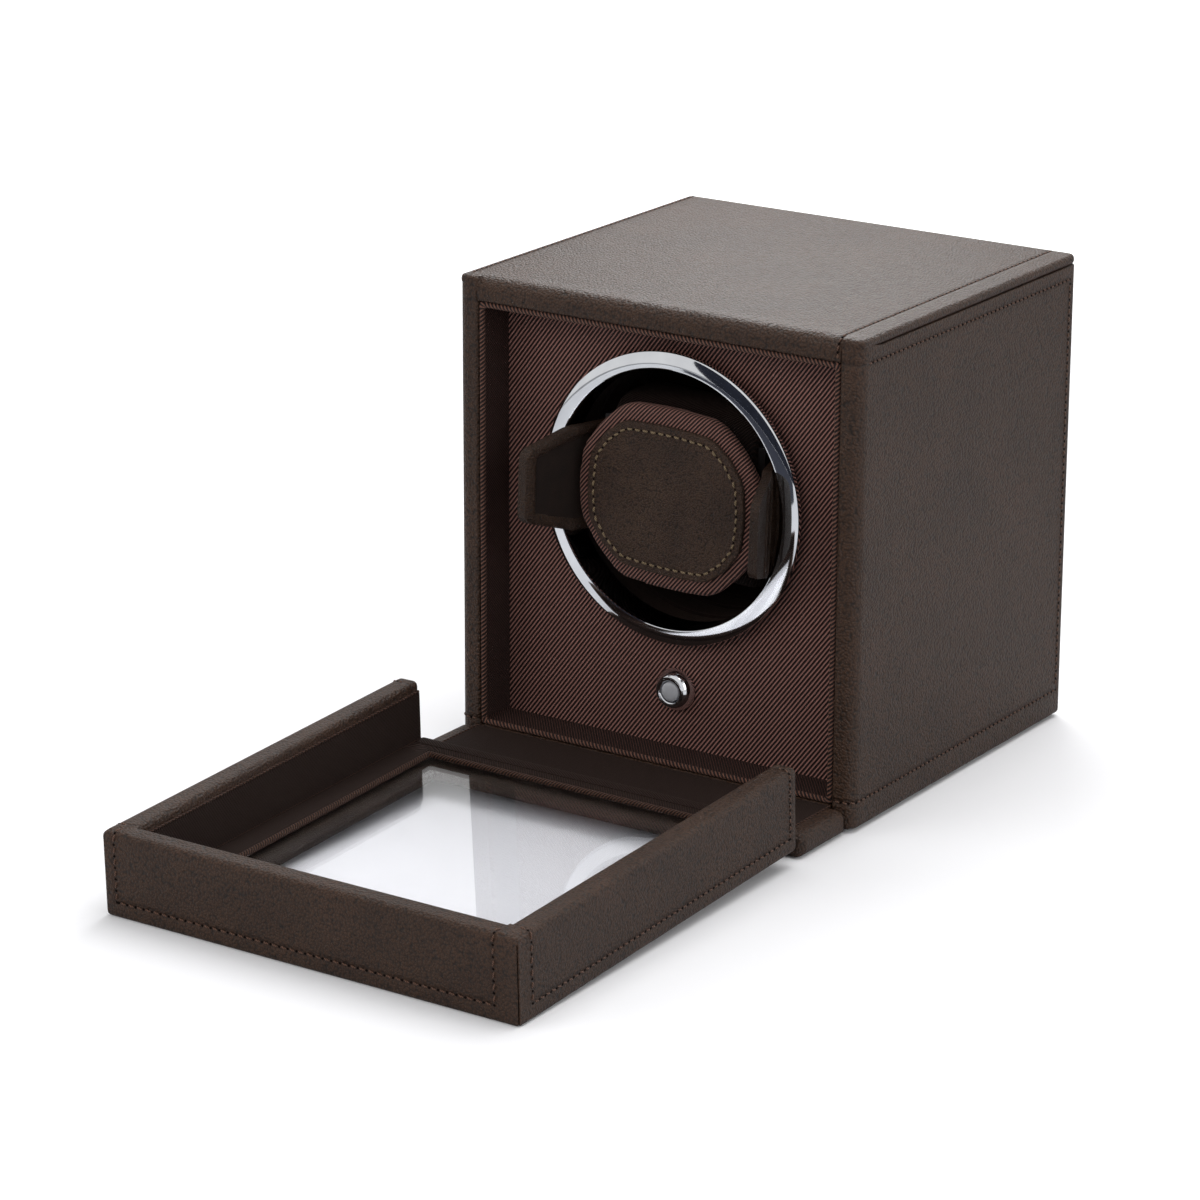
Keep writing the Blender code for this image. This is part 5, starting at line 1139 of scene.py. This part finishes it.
def build_studio():
    """Pale floor, even white surroundings and broad soft lamps."""
    # white paper, brighter to the camera than to the object, and lit by itself from 0.3 m out
    look = finish("floor_paper", Roughness=0.9, IOR=1.2)
    place = look.place()
    paper = look.ramp(look.noise(place, 0.002), (0.3, "#c9cbce"), (0.7, "#cccdd0"))
    seen, _ = look.plainly_seen()
    look.wear(Base_Color=look.mix(seen, paper, linear("#f5f5f7")))
    away = look.add("VectorMath", {0: place}, "Value", operation="LENGTH")
    far = look.add("MapRange", {"Value": away, "From Min": 300.0, "From Max": 1000.0,
                                "To Max": 0.9}, "Result", interpolation_type="SMOOTHSTEP")
    glow = look.add("Emission", {"Color": (1, 1, 1, 1), "Strength": seen * far})
    look.show(look.add("AddShader", {0: Value(look, look.shader.outputs[0]), 1: glow}))
    size = 6000.0
    corners = [(-size, -size, -0.02), (size, -size, -0.02), (size, size, -0.02),
               (-size, size, -0.02)]
    mesh_object("floor", corners, [[0, 1, 2, 3]], look.owner, 0)

    # white to the camera, soft grey in reflections, a weak fill for the rest
    world = bpy.context.scene.world = bpy.data.worlds.new("studio")
    look = Look(world, "Background", Color=(1, 1, 1, 1))
    seen, path = look.plainly_seen()
    look.wear(Strength=seen * 0.61 + 0.39 + path["Is Glossy Ray"] * 0.33)

    lamp("overhead_softbox", (0.15, 0.35, 1.45), (0, -0.05, 0.05), (1.4, 1.4), 16.5)
    lamp("front_left_softbox", (-1.5, -1.6, 1.0), (0, -0.08, 0.07), (1.9, 1.5), 14.0, False)
    lamp("front_softbox", (0.4, -2.0, 1.1), (0, -0.08, 0.07), (1.6, 1.2), 14.0, False)
    lamp("back_left_softbox", (-0.12, 0.2, 0.31), (-0.02, 0.02, 0.15), (0.2, 0.12), 0.6)
    lamp("right_softbox", (1.7, -0.1, 0.8), (0, 0, 0.08), (1.2, 1.0), 8.0)

    # two dark cards in front, one upright and one on the table, seen only by reflections: the
    # chrome shows them as its dark patch
    look = finish("dark_blue_card", Roughness=0.9)
    tone = look.noise(look.place(), 0.01)
    look.wear(Base_Color=look.ramp(tone, (0.3, "#10131f"), (0.7, "#1a1e2e")))
    card = [(-860, -1900, 5), (900, -1900, 5), (900, -1900, 90), (-860, -1900, 1309)]
    mat = [(-1045, -1890), (620, -1890), (120, -560), (50, -480), (0, -440), (-40, -395),
           (-85, -375), (-151, -480), (-223, -592), (-310, -700), (-430, -790)]
    for name, corners in (("dark_card", card), ("dark_mat", [(x, y, 1) for x, y in mat])):
        obj = mesh_object(name, corners, [list(range(len(corners)))], look.owner, 0)
        obj.visible_camera = obj.visible_diffuse = obj.visible_shadow = False
        obj.visible_transmission = False
    bpy.context.scene.view_settings.view_transform = "Standard"


for build in (build_top, build_sides, build_recess, build_ring, build_drum, build_button,
              build_hinge_board, build_hinge, build_cover, build_cuff, build_tabs,
              build_stitching, build_camera, build_studio):
    build()
